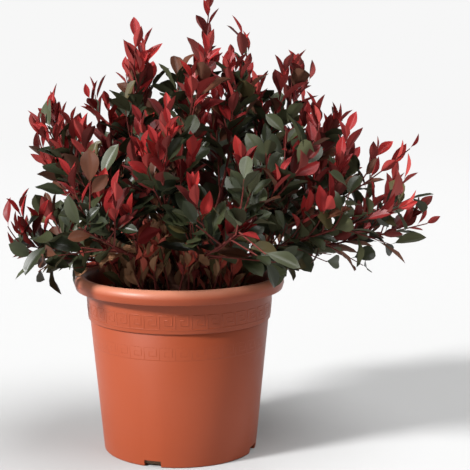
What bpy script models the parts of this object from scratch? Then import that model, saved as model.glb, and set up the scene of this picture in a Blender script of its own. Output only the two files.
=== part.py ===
"""Potted dwarf photinia: a young evergreen shrub with red shoots in a moulded pot.

The pot stands on the XY plane with its axis on Z, and the origin is the centre of its flat
underside. The front is towards -Y and +X is to the right of it. Everything is in metres.
"""
import math
import random

import bmesh
import bpy
import numpy as np
from mathutils import Matrix, Vector
from mathutils.bvhtree import BVHTree

# Clearance between two pieces that touch.
GAP = 0.0003
# Clearance between the ends of two limbs that carry on from each other.
JOINT_GAP = 0.0005
# How far out a limb's end starts, and the steps in which it moves in to its seat.
SEAT_FROM = 0.030
SEAT_STEP = 0.00005
SEAT_SAMPLES = 12
# Corners nearer to each other than this are one corner.
WELD = 0.000001
# Two directions whose cross product is shorter than this are taken as parallel.
PARALLEL = 0.05

# The pot: a round tapered body, a slightly wider collar and a rolled lip.
POT_HEIGHT = 0.237
BASE_RADIUS = 0.103
BASE_EDGE = 0.002
STEP_HEIGHT = 0.179
BODY_TOP_RADIUS = 0.1194
COLLAR_LOW_RADIUS = 0.1220
COLLAR_TOP_RADIUS = 0.1248
LIP_RADIUS = 0.140
LIP_WIDEST_Z = 0.2264
LIP_FOOT_Z = 0.2185
LIP_FOOT_RADIUS = 0.1372
CREST_RADIUS = 0.1312
LIP_STEPS = 5
LIP_EDGE = (0.0008, 0.0015)
LIP_HOLLOW_RISE = 0.004
LIP_HOLLOW_ROUNDING = 0.0018
CREST_INSIDE = (0.0042, 0.0020)
STEP_EDGE = 0.0008
STEP_EDGE_HEIGHTS = (0.0012, 0.0035)
WALL = 0.0025
FLOOR = 0.003
POT_SEGMENTS = 44

# Drain slots cut through the wall and the floor at the foot of the pot.
SLOT_COUNT = 4
SLOT_WIDTH = 0.023
SLOT_HEIGHT = 0.0085
SLOT_DEPTH = 0.014
SLOT_FIRST_AZIMUTH = 252.0

# The compost inside the pot: level in the middle, a little lower at the wall.
SOIL_TOP = 0.2100
SOIL_LEVEL_RADIUS = 0.0315
SOIL_DOME = 0.0015
SOIL_CLEARANCE = 0.0009

# The short woody stool that the main stems grow from.
STOOL_HEIGHT = 0.026
STOOL_FLARE_RADIUS = 0.0215
STOOL_NECK_RADIUS = 0.0125
STOOL_LEAN = 0.003
STOOL_SEGMENTS = 16
STOOL_LOBES = 4
STOOL_LOBE_DEPTH = 0.14
# The stool's section from head to foot: share of the neck's radius, share of the height.
STOOL_SHAPE = ((0.0, 1.0), (0.50, 0.96), (0.86, 0.85), (1.0, 0.65), (1.08, 0.38), (1.30, 0.17))

# The crown's outline: half of an egg on its foot, wider to the right near the bottom.
CROWN_FOOT = Vector((0.0, 0.0, 0.2200))
CROWN_HALF_WIDTH = 0.306
CROWN_HALF_DEPTH = 0.284
CROWN_RISE = 0.378
CROWN_SHIFTS = (0.068, 0.018)
SKIRT_HEIGHT = 0.214
SKIRT_FRONT_RISE = 0.17

# Each main stem carries a low, a middle and a high bough: azimuth of the stem in degrees from
# +X, then how far the tip of each bough's foliage rises above level and how full its reach is.
STEMS = (
    (3.0, ((12.0, 1.00), (30.0, 1.00), (55.0, 0.95))),
    (34.0, ((22.0, 0.99), (42.0, 0.97), (69.0, 0.94))),
    (82.0, ((15.0, 0.95), (38.0, 0.97), (85.0, 1.00))),
    (131.0, ((14.0, 0.96), (42.0, 0.95), (64.0, 0.88))),
    (178.0, ((9.0, 0.98), (30.0, 1.00), (56.0, 0.88))),
    (224.0, ((18.0, 0.97), (38.0, 0.99), (70.0, 0.98))),
    (270.0, ((19.0, 0.96), (36.0, 0.98), (60.0, 0.96))),
    (322.0, ((20.0, 0.98), (37.0, 0.98), (74.0, 0.96))),
)
STEM_SEAT = 0.50
STEM_SEAT_RADIUS = 0.0085
STEM_LEAN = 54.0
STEM_CURVE = 6.0
STEM_LENGTH = 0.052
STEM_RADII = (0.0036, 0.0028)
STEM_SECTIONS = 3
BOUGH_NAMES = ("low", "mid", "high")
BOUGH_DEPARTURES = (0.40, 0.76, 1.0)
BOUGH_SWING = (9.0, -13.0, 7.0)
BOUGH_SHARE = 0.22
BOUGH_RADII = ((0.0023, 0.0019), (0.0024, 0.0020), (0.0027, 0.0021))
BOUGH_SECTIONS = 3
BOUGH_BOW = 0.42
BOUGH_DIPS = (0.08, 0.32)

# One mass of foliage: a leader that carries on from its bough, side twigs round it and leaves.
LEADER_RADII = (0.0023, 0.0013)
LEADER_SECTIONS = 3
TWIG_COUNT = 5
TWIG_FIRST = 0.10
TWIG_LAST = 0.78
TWIG_LENGTHS = (0.078, 0.050)
TWIG_RADII = (0.0018, 0.0011)
TWIG_SPREAD = 50.0
TWIG_RISE = 0.35
GOLDEN_ANGLE = 137.5
LEAF_LENGTHS = (0.062, 0.050)
LEAF_WIDTH = 0.50
LEAF_THICKNESS = 0.034
LEAF_BELLY = 0.47
LEAF_DROOP = 0.05
LEAF_SPREAD = 52.0
LEAF_ROLL = 35.0
TWIG_LEAF_PLACES = (0.40, 0.74)
LEADER_LEAF_PLACES = (0.10, 0.45, 0.76)
LEAF_TRIES = 7
TIP_LEAF_SCALES = (1.0, 0.8, 0.64)
TIP_LEAF_SHOWN = 0.97
TIP_LEAF_SINK = 2.2
LEAF_RISE = 0.20
LEAF_TURN = 47.0
TWIG_TURN = 31.0
TWIG_SHRINK = 0.08
TWIG_CLEAR_FROM = 0.25
TWIG_SAMPLES = 7
ROW_TURN = 61.0
FACE_RISE = 0.35
ROOT_SINK = 0.0004
# How often a mass is drawn again, and the welds through which its solid has to stay closed.
FUSE_TRIES = 12
FUSE_WELDS = (0.000001, 0.000003, 0.000010)

# How far foliage keeps from limbs, from the pot and from the next mass.
LIMB_CLEARANCE = 0.0022
POT_CLEARANCE = 0.0030
MASS_CLEARANCE = 0.0016
SAMPLE_STEPS = 7

COLOURS = {
    "terracotta": ((0.402, 0.087, 0.038), 0.55),
    "compost": ((0.035, 0.020, 0.013), 0.95),
    "bark": ((0.105, 0.050, 0.030), 0.85),
    "young_bark": ((0.150, 0.035, 0.028), 0.60),
    "green_leaf": ((0.030, 0.060, 0.028), 0.35),
    "bronze_leaf": ((0.120, 0.035, 0.028), 0.35),
    "red_leaf": ((0.330, 0.014, 0.022), 0.35),
}


def clear_scene():
    """Removes whatever objects the file holds."""
    for item in list(bpy.data.objects):
        bpy.data.objects.remove(item, do_unlink=True)


def new_collection(name):
    """A collection linked to the scene."""
    collection = bpy.data.collections.new(name)
    bpy.context.scene.collection.children.link(collection)
    return collection


def new_material(name):
    """A Principled material in one of the plant's colours."""
    colour, roughness = COLOURS[name]
    material = bpy.data.materials.new(name)
    material.use_nodes = True
    shader = material.node_tree.nodes["Principled BSDF"]
    shader.inputs["Base Color"].default_value = (*colour, 1.0)
    shader.inputs["Roughness"].default_value = roughness
    shader.inputs["Metallic"].default_value = 0.0
    return material


def add_object(name, data, collection, material=None):
    """An object for a mesh or a curve, in a collection, with its material."""
    item = bpy.data.objects.new(name, data)
    collection.objects.link(item)
    if material is not None:
        data.materials.append(material)
    return item


def evaluated_mesh(item):
    """A plain mesh of an object with its modifiers applied and its caps welded."""
    depsgraph = bpy.context.evaluated_depsgraph_get()
    mesh = bpy.data.meshes.new_from_object(item.evaluated_get(depsgraph))
    body = bmesh.new()
    body.from_mesh(mesh)
    bmesh.ops.remove_doubles(body, verts=body.verts, dist=WELD)
    bmesh.ops.recalc_face_normals(body, faces=body.faces)
    body.to_mesh(mesh)
    body.free()
    return mesh


def turned(name, profile, segments, collection, material):
    """A solid of revolution from (radius, height) points that run down its outer side."""
    mesh = bpy.data.meshes.new(name)
    last = len(profile) - 1
    edges = [(index, index + 1) for index in range(last)]
    mesh.from_pydata([(radius, 0.0, height) for radius, height in profile], edges, [])
    item = add_object(name, mesh, collection, material)
    screw = item.modifiers.new("turn", "SCREW")
    screw.axis = "Z"
    screw.steps = segments
    screw.render_steps = segments
    screw.use_merge_vertices = True
    screw.merge_threshold = 0.00001
    screw.use_smooth_shade = True
    return item


def wall_radius(height):
    """Outer radius of the pot's wall under the lip at a height."""
    if height <= STEP_HEIGHT:
        share = height / STEP_HEIGHT
        return BASE_RADIUS + (BODY_TOP_RADIUS - BASE_RADIUS) * share
    share = (height - STEP_HEIGHT) / (LIP_FOOT_Z - STEP_HEIGHT)
    return COLLAR_LOW_RADIUS + (COLLAR_TOP_RADIUS - COLLAR_LOW_RADIUS) * share


def lip_arc(start, end, count):
    """Points of the lip's quarter-round between two angles in degrees, 90 being the crest."""
    across = LIP_RADIUS - CREST_RADIUS
    down = POT_HEIGHT - LIP_WIDEST_Z
    points = []
    for index in range(count):
        angle = math.radians(start + (end - start) * index / (count - 1))
        points.append((CREST_RADIUS + across * math.cos(angle), LIP_WIDEST_Z + down * math.sin(angle)))
    return points


def pot_profile():
    """The pot's section, from the inside of the floor over the lip to its underside."""
    inner_top = COLLAR_TOP_RADIUS - WALL
    hollow_top = LIP_WIDEST_Z + LIP_HOLLOW_RISE
    section = [
        (0.0, FLOOR),
        (BASE_RADIUS - WALL, FLOOR),
        (BODY_TOP_RADIUS - WALL, STEP_HEIGHT),
        (inner_top, LIP_FOOT_Z),
        (CREST_RADIUS - CREST_INSIDE[0], POT_HEIGHT - CREST_INSIDE[1]),
    ]
    section += lip_arc(90.0, 0.0, LIP_STEPS)
    section += [
        (LIP_FOOT_RADIUS + LIP_EDGE[0], LIP_FOOT_Z + LIP_EDGE[1]),
        (LIP_FOOT_RADIUS, LIP_FOOT_Z),
        (LIP_FOOT_RADIUS - WALL, LIP_FOOT_Z),
        (LIP_FOOT_RADIUS - WALL, hollow_top),
        (COLLAR_TOP_RADIUS + LIP_HOLLOW_ROUNDING, hollow_top),
        (COLLAR_TOP_RADIUS, LIP_FOOT_Z),
        (COLLAR_LOW_RADIUS, STEP_HEIGHT + STEP_EDGE_HEIGHTS[1]),
        (COLLAR_LOW_RADIUS - STEP_EDGE, STEP_HEIGHT + STEP_EDGE_HEIGHTS[0]),
        (BODY_TOP_RADIUS, STEP_HEIGHT - STEP_EDGE),
        (BASE_RADIUS, BASE_EDGE),
        (BASE_RADIUS - BASE_EDGE, 0.0),
        (0.0, 0.0),
    ]
    return section


def drain_slot(azimuth, guides):
    """The cutter of one drain slot, a block across the corner of wall and floor."""
    bpy.ops.mesh.primitive_cube_add(size=1.0)
    cutter = bpy.context.object
    for owner in list(cutter.users_collection):
        owner.objects.unlink(cutter)
    guides.objects.link(cutter)
    depth = 2.0 * SLOT_DEPTH
    height = 2.0 * SLOT_HEIGHT
    cutter.data.transform(Matrix.Diagonal((depth, SLOT_WIDTH, height, 1.0)))
    cutter.location = unit(azimuth, 0.0) * BASE_RADIUS
    cutter.rotation_euler.z = math.radians(azimuth)
    cutter.hide_render = True
    cutter.display_type = "WIRE"
    return cutter


def make_pot(collection, guides, material):
    """The pot, open at the top, with drain slots at its foot."""
    pot = turned("pot", pot_profile(), POT_SEGMENTS, collection, material)
    for index in range(SLOT_COUNT):
        azimuth = SLOT_FIRST_AZIMUTH + 360.0 * index / SLOT_COUNT
        cut = pot.modifiers.new("slot", "BOOLEAN")
        cut.operation = "DIFFERENCE"
        cut.object = drain_slot(azimuth, guides)
    return pot


def make_soil(collection, material):
    """The compost that fills the pot, clear of its wall and floor and a little domed."""
    inwards = WALL + SOIL_CLEARANCE
    profile = [
        (0.0, SOIL_TOP),
        (SOIL_LEVEL_RADIUS, SOIL_TOP),
        (wall_radius(SOIL_TOP) - inwards, SOIL_TOP - SOIL_DOME),
        (BODY_TOP_RADIUS - inwards, STEP_HEIGHT),
        (BASE_RADIUS - inwards, FLOOR + GAP),
        (0.0, FLOOR + GAP),
    ]
    return turned("soil", profile, POT_SEGMENTS, collection, material)


def make_stool(collection, material):
    """The short stool: flared roots, a flat cut on the compost and a rounded, leaning head."""
    foot = SOIL_TOP + GAP
    profile = [(STOOL_NECK_RADIUS * across, foot + STOOL_HEIGHT * up) for across, up in STOOL_SHAPE]
    profile += [(STOOL_FLARE_RADIUS, foot), (0.0, foot)]
    blank = turned("trunk_blank", profile, STOOL_SEGMENTS, collection, None)
    mesh = evaluated_mesh(blank)
    bpy.data.objects.remove(blank, do_unlink=True)
    for vertex in mesh.vertices:
        height = (vertex.co.z - foot) / STOOL_HEIGHT
        wave = math.cos(STOOL_LOBES * math.atan2(vertex.co.y, vertex.co.x))
        lobes = 1.0 + STOOL_LOBE_DEPTH * (1.0 - height) ** 2 * wave
        vertex.co.x = vertex.co.x * lobes + STOOL_LEAN * height * height
        vertex.co.y = vertex.co.y * lobes
    return add_object("trunk", mesh, collection, material)


def unit(azimuth, elevation):
    """The direction at an azimuth from +X and an elevation above level, in degrees."""
    turn = math.radians(azimuth)
    rise = math.radians(elevation)
    return Vector((math.cos(rise) * math.cos(turn), math.cos(rise) * math.sin(turn), math.sin(rise)))


def crown_point(azimuth, rise, share):
    """A point at a share of the way from the crown's foot to its outline."""
    way = unit(azimuth, rise)
    shift = CROWN_SHIFTS[0] * (1.0 - way.z) + CROWN_SHIFTS[1] * way.z
    across = way.x * CROWN_HALF_WIDTH + shift
    offset = Vector((across, way.y * CROWN_HALF_DEPTH, way.z * CROWN_RISE))
    return CROWN_FOOT + offset * share


def bent_path(start, control, end, first, last, sections):
    """Evenly parted points of a quadratic curve between two shares of its run."""
    points = []
    for index in range(sections + 1):
        share = first + (last - first) * index / sections
        back = 1.0 - share
        points.append(start * back * back + control * 2.0 * back * share + end * share * share)
    return points


def taper(radii, count):
    """Radii that fall evenly from the first to the second of a pair."""
    return [radii[0] + (radii[1] - radii[0]) * index / (count - 1) for index in range(count)]


class Limb:
    """One tapering limb as a run of points with a radius at each."""

    def __init__(self, name, points, radii):
        self.name = name
        self.points = points
        self.radii = taper(radii, len(points))

    def at(self, share):
        """The point, direction and radius at a share of the run."""
        place = min(max(share, 0.0), 1.0) * (len(self.points) - 1)
        index = min(int(place), len(self.points) - 2)
        rest = place - index
        point = self.points[index].lerp(self.points[index + 1], rest)
        ahead = (self.points[index + 1] - self.points[index]).normalized()
        radius = self.radii[index] + (self.radii[index + 1] - self.radii[index]) * rest
        return point, ahead, radius


def seated_start(point, leaving, radius, carrier):
    """The nearest place along a direction where a limb's round end is clear of its carrier."""
    spoke = leaving.orthogonal().normalized() * radius
    edge = []
    for index in range(SEAT_SAMPLES):
        edge.append(Matrix.Rotation(2.0 * math.pi * index / SEAT_SAMPLES, 3, leaving) @ spoke)
    reach = SEAT_FROM
    while reach > 0.0:
        centre = point + leaving * (reach - SEAT_STEP)
        if min(carrier.find_nearest(centre + offset)[3] for offset in edge) < GAP:
            break
        reach -= SEAT_STEP
    return point + leaving * reach


def grow_stem(index, stool):
    """A main stem that leaves the stool's shoulder and leans out."""
    around = 360.0 * index / len(STEMS)
    leaning = unit(around, STEM_LEAN)
    lean = STOOL_LEAN * STEM_SEAT * STEM_SEAT
    seat = Vector((lean, 0.0, SOIL_TOP + GAP + STOOL_HEIGHT * STEM_SEAT))
    seat += unit(around, 0.0) * STEM_SEAT_RADIUS
    start = seated_start(seat, leaning, STEM_RADII[0], stool)
    end = start + unit(STEMS[index][0], STEM_LEAN + STEM_CURVE) * STEM_LENGTH
    control = start + leaning * STEM_LENGTH * 0.5
    points = bent_path(start, control, end, 0.0, 1.0, STEM_SECTIONS)
    return Limb("stem_%d" % (index + 1), points, STEM_RADII)


def grow_bough(index, level, stem, carrier):
    """The bough of one level on a stem, and the leader of the foliage that carries on from it."""
    azimuth, boughs = STEMS[index]
    rise, vigour = boughs[level]
    point, ahead = stem.at(BOUGH_DEPARTURES[level])[:2]
    outline = crown_point(azimuth + BOUGH_SWING[level], rise, vigour)
    tip = outline - (outline - CROWN_FOOT).normalized() * LEAF_LENGTHS[1] * TIP_LEAF_SHOWN
    if level == len(BOUGH_NAMES) - 1:
        leaving = ahead
        start = point + leaving * JOINT_GAP
    else:
        leaving = ((tip - point).normalized() - Vector((0.0, 0.0, BOUGH_DIPS[level]))).normalized()
        start = seated_start(point, leaving, BOUGH_RADII[level][0], carrier)
    span = (tip - start).length
    control = start + leaving * span * BOUGH_BOW
    parting = BOUGH_SHARE + JOINT_GAP / span
    bough_path = bent_path(start, control, tip, 0.0, BOUGH_SHARE, BOUGH_SECTIONS)
    leader_path = bent_path(start, control, tip, parting, 1.0, LEADER_SECTIONS)
    label = "%d_%s" % (index + 1, BOUGH_NAMES[level])
    bough = Limb("bough_" + label, bough_path, BOUGH_RADII[level])
    leader = Limb("foliage_" + label, leader_path, LEADER_RADII)
    return bough, leader


def surface_tree(item):
    """The surface of a finished object, for distances to it."""
    body = bmesh.new()
    body.from_mesh(item.data)
    tree = BVHTree.FromBMesh(body)
    body.free()
    return tree


def tube(limb, sides, collection, material=None):
    """A tapering closed tube along a limb; the guide gives the shape of its section."""
    curve = bpy.data.curves.new(limb.name, "CURVE")
    curve.dimensions = "3D"
    curve.bevel_mode = "OBJECT"
    curve.bevel_object = sides
    curve.use_fill_caps = True
    spline = curve.splines.new("POLY")
    spline.points.add(len(limb.points) - 1)
    for target, point, radius in zip(spline.points, limb.points, limb.radii):
        target.co = (*point, 1.0)
        target.radius = radius
    draft = add_object(limb.name + "_draft", curve, collection)
    mesh = evaluated_mesh(draft)
    bpy.data.objects.remove(draft, do_unlink=True)
    bpy.data.curves.remove(curve)
    mesh.materials.clear()
    return add_object(limb.name, mesh, collection, material)


def section_guide(name, sides, guides):
    """A closed outline of unit radius that tubes are swept with."""
    curve = bpy.data.curves.new(name, "CURVE")
    curve.dimensions = "2D"
    spline = curve.splines.new("POLY")
    spline.points.add(sides - 1)
    for index in range(sides):
        angle = 2.0 * math.pi * index / sides
        spline.points[index].co = (math.cos(angle), math.sin(angle), 0.0, 1.0)
    spline.use_cyclic_u = True
    guide = add_object(name, curve, guides)
    guide.hide_render = True
    guide.display_type = "WIRE"
    return guide


def side_direction(ahead, around, spread, rise):
    """A direction that leaves a line at a spread angle, turned round it, and drawn upwards."""
    level = ahead.cross(Vector((0.0, 0.0, 1.0)))
    if level.length < PARALLEL:
        level = Vector((1.0, 0.0, 0.0))
    across = Matrix.Rotation(math.radians(around), 3, ahead) @ level.normalized()
    lean = math.radians(spread)
    direction = ahead * math.cos(lean) + across * math.sin(lean)
    return (direction + Vector((0.0, 0.0, rise))).normalized()


def leaf_body(root, ahead, length, roll):
    """A leaf of eight faces, widest near its middle, whose blade faces up and outwards."""
    outwards = (root - CROWN_FOOT).normalized() + Vector((0.0, 0.0, FACE_RISE))
    level = ahead.cross(outwards)
    if level.length < PARALLEL:
        level = ahead.cross(Vector((1.0, 0.0, 0.0)))
    level = Matrix.Rotation(math.radians(roll), 3, ahead) @ level.normalized()
    normal = level.cross(ahead).normalized()
    body = bmesh.new()
    bmesh.ops.create_uvsphere(body, u_segments=4, v_segments=2, radius=1.0)
    for vertex in body.verts:
        across, over, along = vertex.co
        if along > 0.0:
            run = LEAF_BELLY + (1.0 - LEAF_BELLY) * along
        else:
            run = LEAF_BELLY + LEAF_BELLY * along
        place = ahead * (run * length) + level * (across * LEAF_WIDTH * length * 0.5)
        place += normal * (over * LEAF_THICKNESS * length * 0.5 - LEAF_DROOP * length * run * run)
        vertex.co = root + place
    bmesh.ops.recalc_face_normals(body, faces=body.faces)
    return body


def surface_points(body):
    """Points spread over a small body's edges, as an array."""
    shares = np.linspace(0.0, 1.0, SAMPLE_STEPS)[:, None]
    rows = []
    for edge in body.edges:
        first = np.array(edge.verts[0].co)
        second = np.array(edge.verts[1].co)
        rows.append(first + (second - first) * shares)
    return np.vstack(rows)


def path_distance(points, path):
    """Distance of each point in an array from the nearest stretch of a path."""
    nearest = np.full(len(points), np.inf)
    corners = np.array([tuple(corner) for corner in path])
    for first, second in zip(corners[:-1], corners[1:]):
        run = second - first
        share = np.clip((points - first) @ run / (run @ run), 0.0, 1.0)
        offset = points - first - share[:, None] * run
        nearest = np.minimum(nearest, np.sqrt((offset ** 2).sum(axis=1)))
    return nearest


class Space:
    """What a mass of foliage keeps clear of: limbs, the pot and the other masses."""

    def __init__(self, limbs, leaders):
        self.limbs = limbs
        self.leaders = leaders

    def clear_of_pot(self, points):
        """True where no point is in or too near the pot, or too near the compost."""
        out = np.hypot(points[:, 0], points[:, 1])
        high = points[:, 2]
        over = high > POT_HEIGHT + POT_CLEARANCE
        outside = out > LIP_RADIUS + POT_CLEARANCE
        inner = COLLAR_TOP_RADIUS - WALL - POT_CLEARANCE
        inside = (out < inner) & (high > SOIL_TOP + POT_CLEARANCE)
        return bool(np.all(over | outside | inside))

    def clear_of_limbs(self, points):
        """True where every point keeps its distance from every limb."""
        for limb in self.limbs:
            reach = max(limb.radii) + LIMB_CLEARANCE
            if path_distance(points, limb.points).min() < reach:
                return False
        return True

    def own_ground(self, points, own):
        """True where every point lies nearer to its own leader than to any other."""
        nearest = path_distance(points, self.leaders[own].points)
        for index, other in enumerate(self.leaders):
            if index != own and np.any(path_distance(points, other.points) < nearest + MASS_CLEARANCE):
                return False
        return True

    def within_crown(self, points):
        """True where no point passes the crown's outline or hangs under the lip."""
        offset = points - np.array(CROWN_FOOT)
        height = np.maximum(offset[:, 2], 0.0) / CROWN_RISE
        shift = CROWN_SHIFTS[0] * (1.0 - height) + CROWN_SHIFTS[1] * height
        across = (offset[:, 0] - shift) / CROWN_HALF_WIDTH
        reach = across ** 2 + (offset[:, 1] / CROWN_HALF_DEPTH) ** 2 + height ** 2
        skirt = SKIRT_HEIGHT + SKIRT_FRONT_RISE * np.maximum(-offset[:, 1], 0.0)
        return bool(np.all(reach < 1.0) and np.all(points[:, 2] > skirt))

    def free(self, points, own):
        """True where a piece of foliage may stand."""
        if not self.within_crown(points) or not self.clear_of_pot(points):
            return False
        return self.own_ground(points, own) and self.clear_of_limbs(points)


def foliage_pieces(own, space, attempt):
    """The twigs of one mass, and the bodies of its leaves, by a draw of its own."""
    leader = space.leaders[own]
    draw = random.Random("%s %d" % (leader.name, attempt))
    taken = []
    twigs = []
    leaves = []

    def touches(tree):
        return any(tree.overlap(other) for other in taken)

    def add_leaf(root, ahead, size):
        body = leaf_body(root, ahead, size, draw.uniform(-LEAF_ROLL, LEAF_ROLL))
        tree = BVHTree.FromBMesh(body)
        if space.free(surface_points(body), own) and not touches(tree):
            taken.append(tree)
            leaves.append(body)
            return True
        body.free()
        return False

    def add_side_leaf(limb, share, size, turn):
        point, ahead = limb.at(share)[:2]
        for turned_on in range(LEAF_TRIES):
            around = turn + LEAF_TURN * turned_on
            heading = side_direction(ahead, around, LEAF_SPREAD, LEAF_RISE)
            root = point - heading * ROOT_SINK
            if add_leaf(root, heading, size):
                return

    def add_tip_leaf(limb, size):
        point, ahead, radius = limb.at(1.0)
        for scale in TIP_LEAF_SCALES:
            if add_leaf(point - ahead * radius * TIP_LEAF_SINK, ahead, size * scale):
                return True
        return False

    phase = draw.uniform(0.0, 360.0)
    for index in range(TWIG_COUNT):
        share = TWIG_FIRST + (TWIG_LAST - TWIG_FIRST) * index / (TWIG_COUNT - 1)
        length = TWIG_LENGTHS[0] + (TWIG_LENGTHS[1] - TWIG_LENGTHS[0]) * share
        point, ahead = leader.at(share)[:2]
        for turned_on in range(LEAF_TRIES):
            around = phase + GOLDEN_ANGLE * index + TWIG_TURN * turned_on
            size = length * (1.0 - TWIG_SHRINK * turned_on)
            heading = side_direction(ahead, around, TWIG_SPREAD, TWIG_RISE)
            twig = Limb("twig", [point, point + heading * size], TWIG_RADII)
            shares = np.linspace(TWIG_CLEAR_FROM, 1.0, TWIG_SAMPLES)
            outer = np.array([tuple(twig.at(place)[0]) for place in shares])
            if space.free(outer, own) and add_tip_leaf(twig, LEAF_LENGTHS[1]):
                twigs.append(twig)
                break
    add_tip_leaf(leader, LEAF_LENGTHS[1])
    for number, twig in enumerate(twigs):
        for place, share in enumerate(TWIG_LEAF_PLACES):
            add_side_leaf(twig, share, LEAF_LENGTHS[0], phase + 180.0 * place + ROW_TURN * number)
    for place, share in enumerate(LEADER_LEAF_PLACES):
        add_side_leaf(leader, share, LEAF_LENGTHS[0], phase + 90.0 + GOLDEN_ANGLE * place)
    return twigs, leaves


def drop_scraps(body):
    """Leaves only the largest of the separate groups of corners in a body."""
    left = set(body.verts)
    groups = []
    while left:
        front = [left.pop()]
        group = list(front)
        while front:
            for edge in front.pop().link_edges:
                for corner in edge.verts:
                    if corner in left:
                        left.remove(corner)
                        front.append(corner)
                        group.append(corner)
        groups.append(group)
    groups.sort(key=len)
    for group in groups[:-1]:
        bmesh.ops.delete(body, geom=group, context="VERTS")


def closed_body(mesh, weld):
    """The welded largest body of a joined mesh, or None where it isn't closed."""
    body = bmesh.new()
    body.from_mesh(mesh)
    bmesh.ops.remove_doubles(body, verts=body.verts, dist=weld)
    bmesh.ops.triangulate(body, faces=body.faces)
    drop_scraps(body)
    edges_meet = all(edge.is_manifold for edge in body.edges)
    if edges_meet and all(corner.is_manifold for corner in body.verts):
        return body
    body.free()
    return None


def fuse(draft, extras):
    """Joins a collection onto an object; None where the result has a fault at some weld."""
    union = draft.modifiers.new("fuse", "BOOLEAN")
    union.operation = "UNION"
    union.operand_type = "COLLECTION"
    union.collection = extras
    union.solver = "EXACT"
    mesh = evaluated_mesh(draft)
    bodies = [closed_body(mesh, weld) for weld in FUSE_WELDS]
    sound = None not in bodies
    if sound:
        bodies[0].to_mesh(mesh)
    for body in bodies:
        if body is not None:
            body.free()
    return mesh if sound else None


def grow_mass(own, space, attempt, triangle, guides):
    """One draw of a mass as one mesh: its leader with every twig and leaf fused on."""
    leader = space.leaders[own]
    twigs, leaves = foliage_pieces(own, space, attempt)
    extras = new_collection("extras")
    for twig in twigs:
        tube(twig, triangle, extras)
    for body in leaves[:len(leaves) - max(0, attempt - 1)]:
        mesh = bpy.data.meshes.new("leaf")
        body.to_mesh(mesh)
        add_object("leaf", mesh, extras)
    for body in leaves:
        body.free()
    draft = tube(leader, triangle, guides)
    mesh = fuse(draft, extras)
    for item in list(extras.objects) + [draft]:
        bpy.data.objects.remove(item, do_unlink=True)
    bpy.data.collections.remove(extras)
    return mesh


def make_mass(own, space, triangle, collection, guides, material):
    """A mass of foliage; after two draws that don't join cleanly it gets fewer leaves."""
    name = space.leaders[own].name
    for attempt in range(FUSE_TRIES):
        mesh = grow_mass(own, space, attempt, triangle, guides)
        if mesh is not None:
            return add_object(name, mesh, collection, material)
    raise RuntimeError(name + " doesn't close")


def main():
    """Builds the pot, the compost, the stool, its limbs and the masses of foliage."""
    clear_scene()
    parts = new_collection("potted_dwarf_photinia")
    guides = new_collection("guides")
    materials = {name: new_material(name) for name in COLOURS}
    make_pot(parts, guides, materials["terracotta"])
    make_soil(parts, materials["compost"])
    stool = surface_tree(make_stool(parts, materials["bark"]))
    pentagon = section_guide("pentagon", 5, guides)
    triangle = section_guide("triangle", 3, guides)
    limbs = []
    leaders = []
    for index in range(len(STEMS)):
        stem = grow_stem(index, stool)
        carrier = surface_tree(tube(stem, pentagon, parts, materials["bark"]))
        limbs.append(stem)
        for level in range(len(BOUGH_NAMES)):
            bough, leader = grow_bough(index, level, stem, carrier)
            tube(bough, pentagon, parts, materials["young_bark"])
            limbs.append(bough)
            leaders.append(leader)
    space = Space(limbs, leaders)
    finish = [materials["green_leaf"], materials["bronze_leaf"], materials["red_leaf"]]
    for own in range(len(leaders)):
        make_mass(own, space, triangle, parts, guides, finish[own % len(finish)])


main()
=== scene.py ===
"""Finish of a potted dwarf photinia: its pot, compost, bark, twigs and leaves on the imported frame.

Everything is in metres in the frame's own axes: +Z up, the pot's foot on the XY plane and the
front towards -Y. Limbs follow the rule of the frame's solids and are carried on to finer twigs.
"""
import math
import random

import bmesh
import bpy
import numpy as np
from bpy.props import FloatProperty, FloatVectorProperty, IntProperty, PointerProperty
from mathutils import Matrix, Vector


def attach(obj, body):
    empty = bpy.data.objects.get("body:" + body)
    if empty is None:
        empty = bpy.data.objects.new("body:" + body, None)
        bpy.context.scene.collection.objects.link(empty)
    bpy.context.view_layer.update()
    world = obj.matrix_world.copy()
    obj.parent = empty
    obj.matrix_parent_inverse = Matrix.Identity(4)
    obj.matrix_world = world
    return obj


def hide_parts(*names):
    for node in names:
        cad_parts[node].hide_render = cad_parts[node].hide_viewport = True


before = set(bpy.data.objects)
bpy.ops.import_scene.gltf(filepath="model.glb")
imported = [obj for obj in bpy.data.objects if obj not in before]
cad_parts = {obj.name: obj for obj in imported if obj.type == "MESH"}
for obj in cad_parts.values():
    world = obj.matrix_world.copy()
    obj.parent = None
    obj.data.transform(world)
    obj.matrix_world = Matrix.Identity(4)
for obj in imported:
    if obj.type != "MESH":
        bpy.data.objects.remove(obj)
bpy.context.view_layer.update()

bl_info = {
    "name": "Potted dwarf photinia",
    "version": (1, 0, 0),
    "blender": (4, 5, 0),
    "location": "3D View > Sidebar > Photinia",
    "description": "Dresses a potted dwarf photinia in plastic, compost, bark and leaves",
    "category": "Object",
}

BODY = "root"
UP = Vector((0.0, 0.0, 1.0))
BLACK = (0.0, 0.0, 0.0)
WHITE = (1.0, 1.0, 1.0)
EVEN = (1.0, 1.0, 1.0)
MERGE_DISTANCE = 0.00001
# What a leaf is made from: its place, its two directions, its sizes with its fold, and its bends.
LEAF_ATTRIBUTES = ("root", "ahead", "level", "shape", "bend")
# Attributes that only the making of a piece uses.
WORKING_NAMES = LEAF_ATTRIBUTES + ("along", "across", "side", "thickness", "shade")

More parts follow.
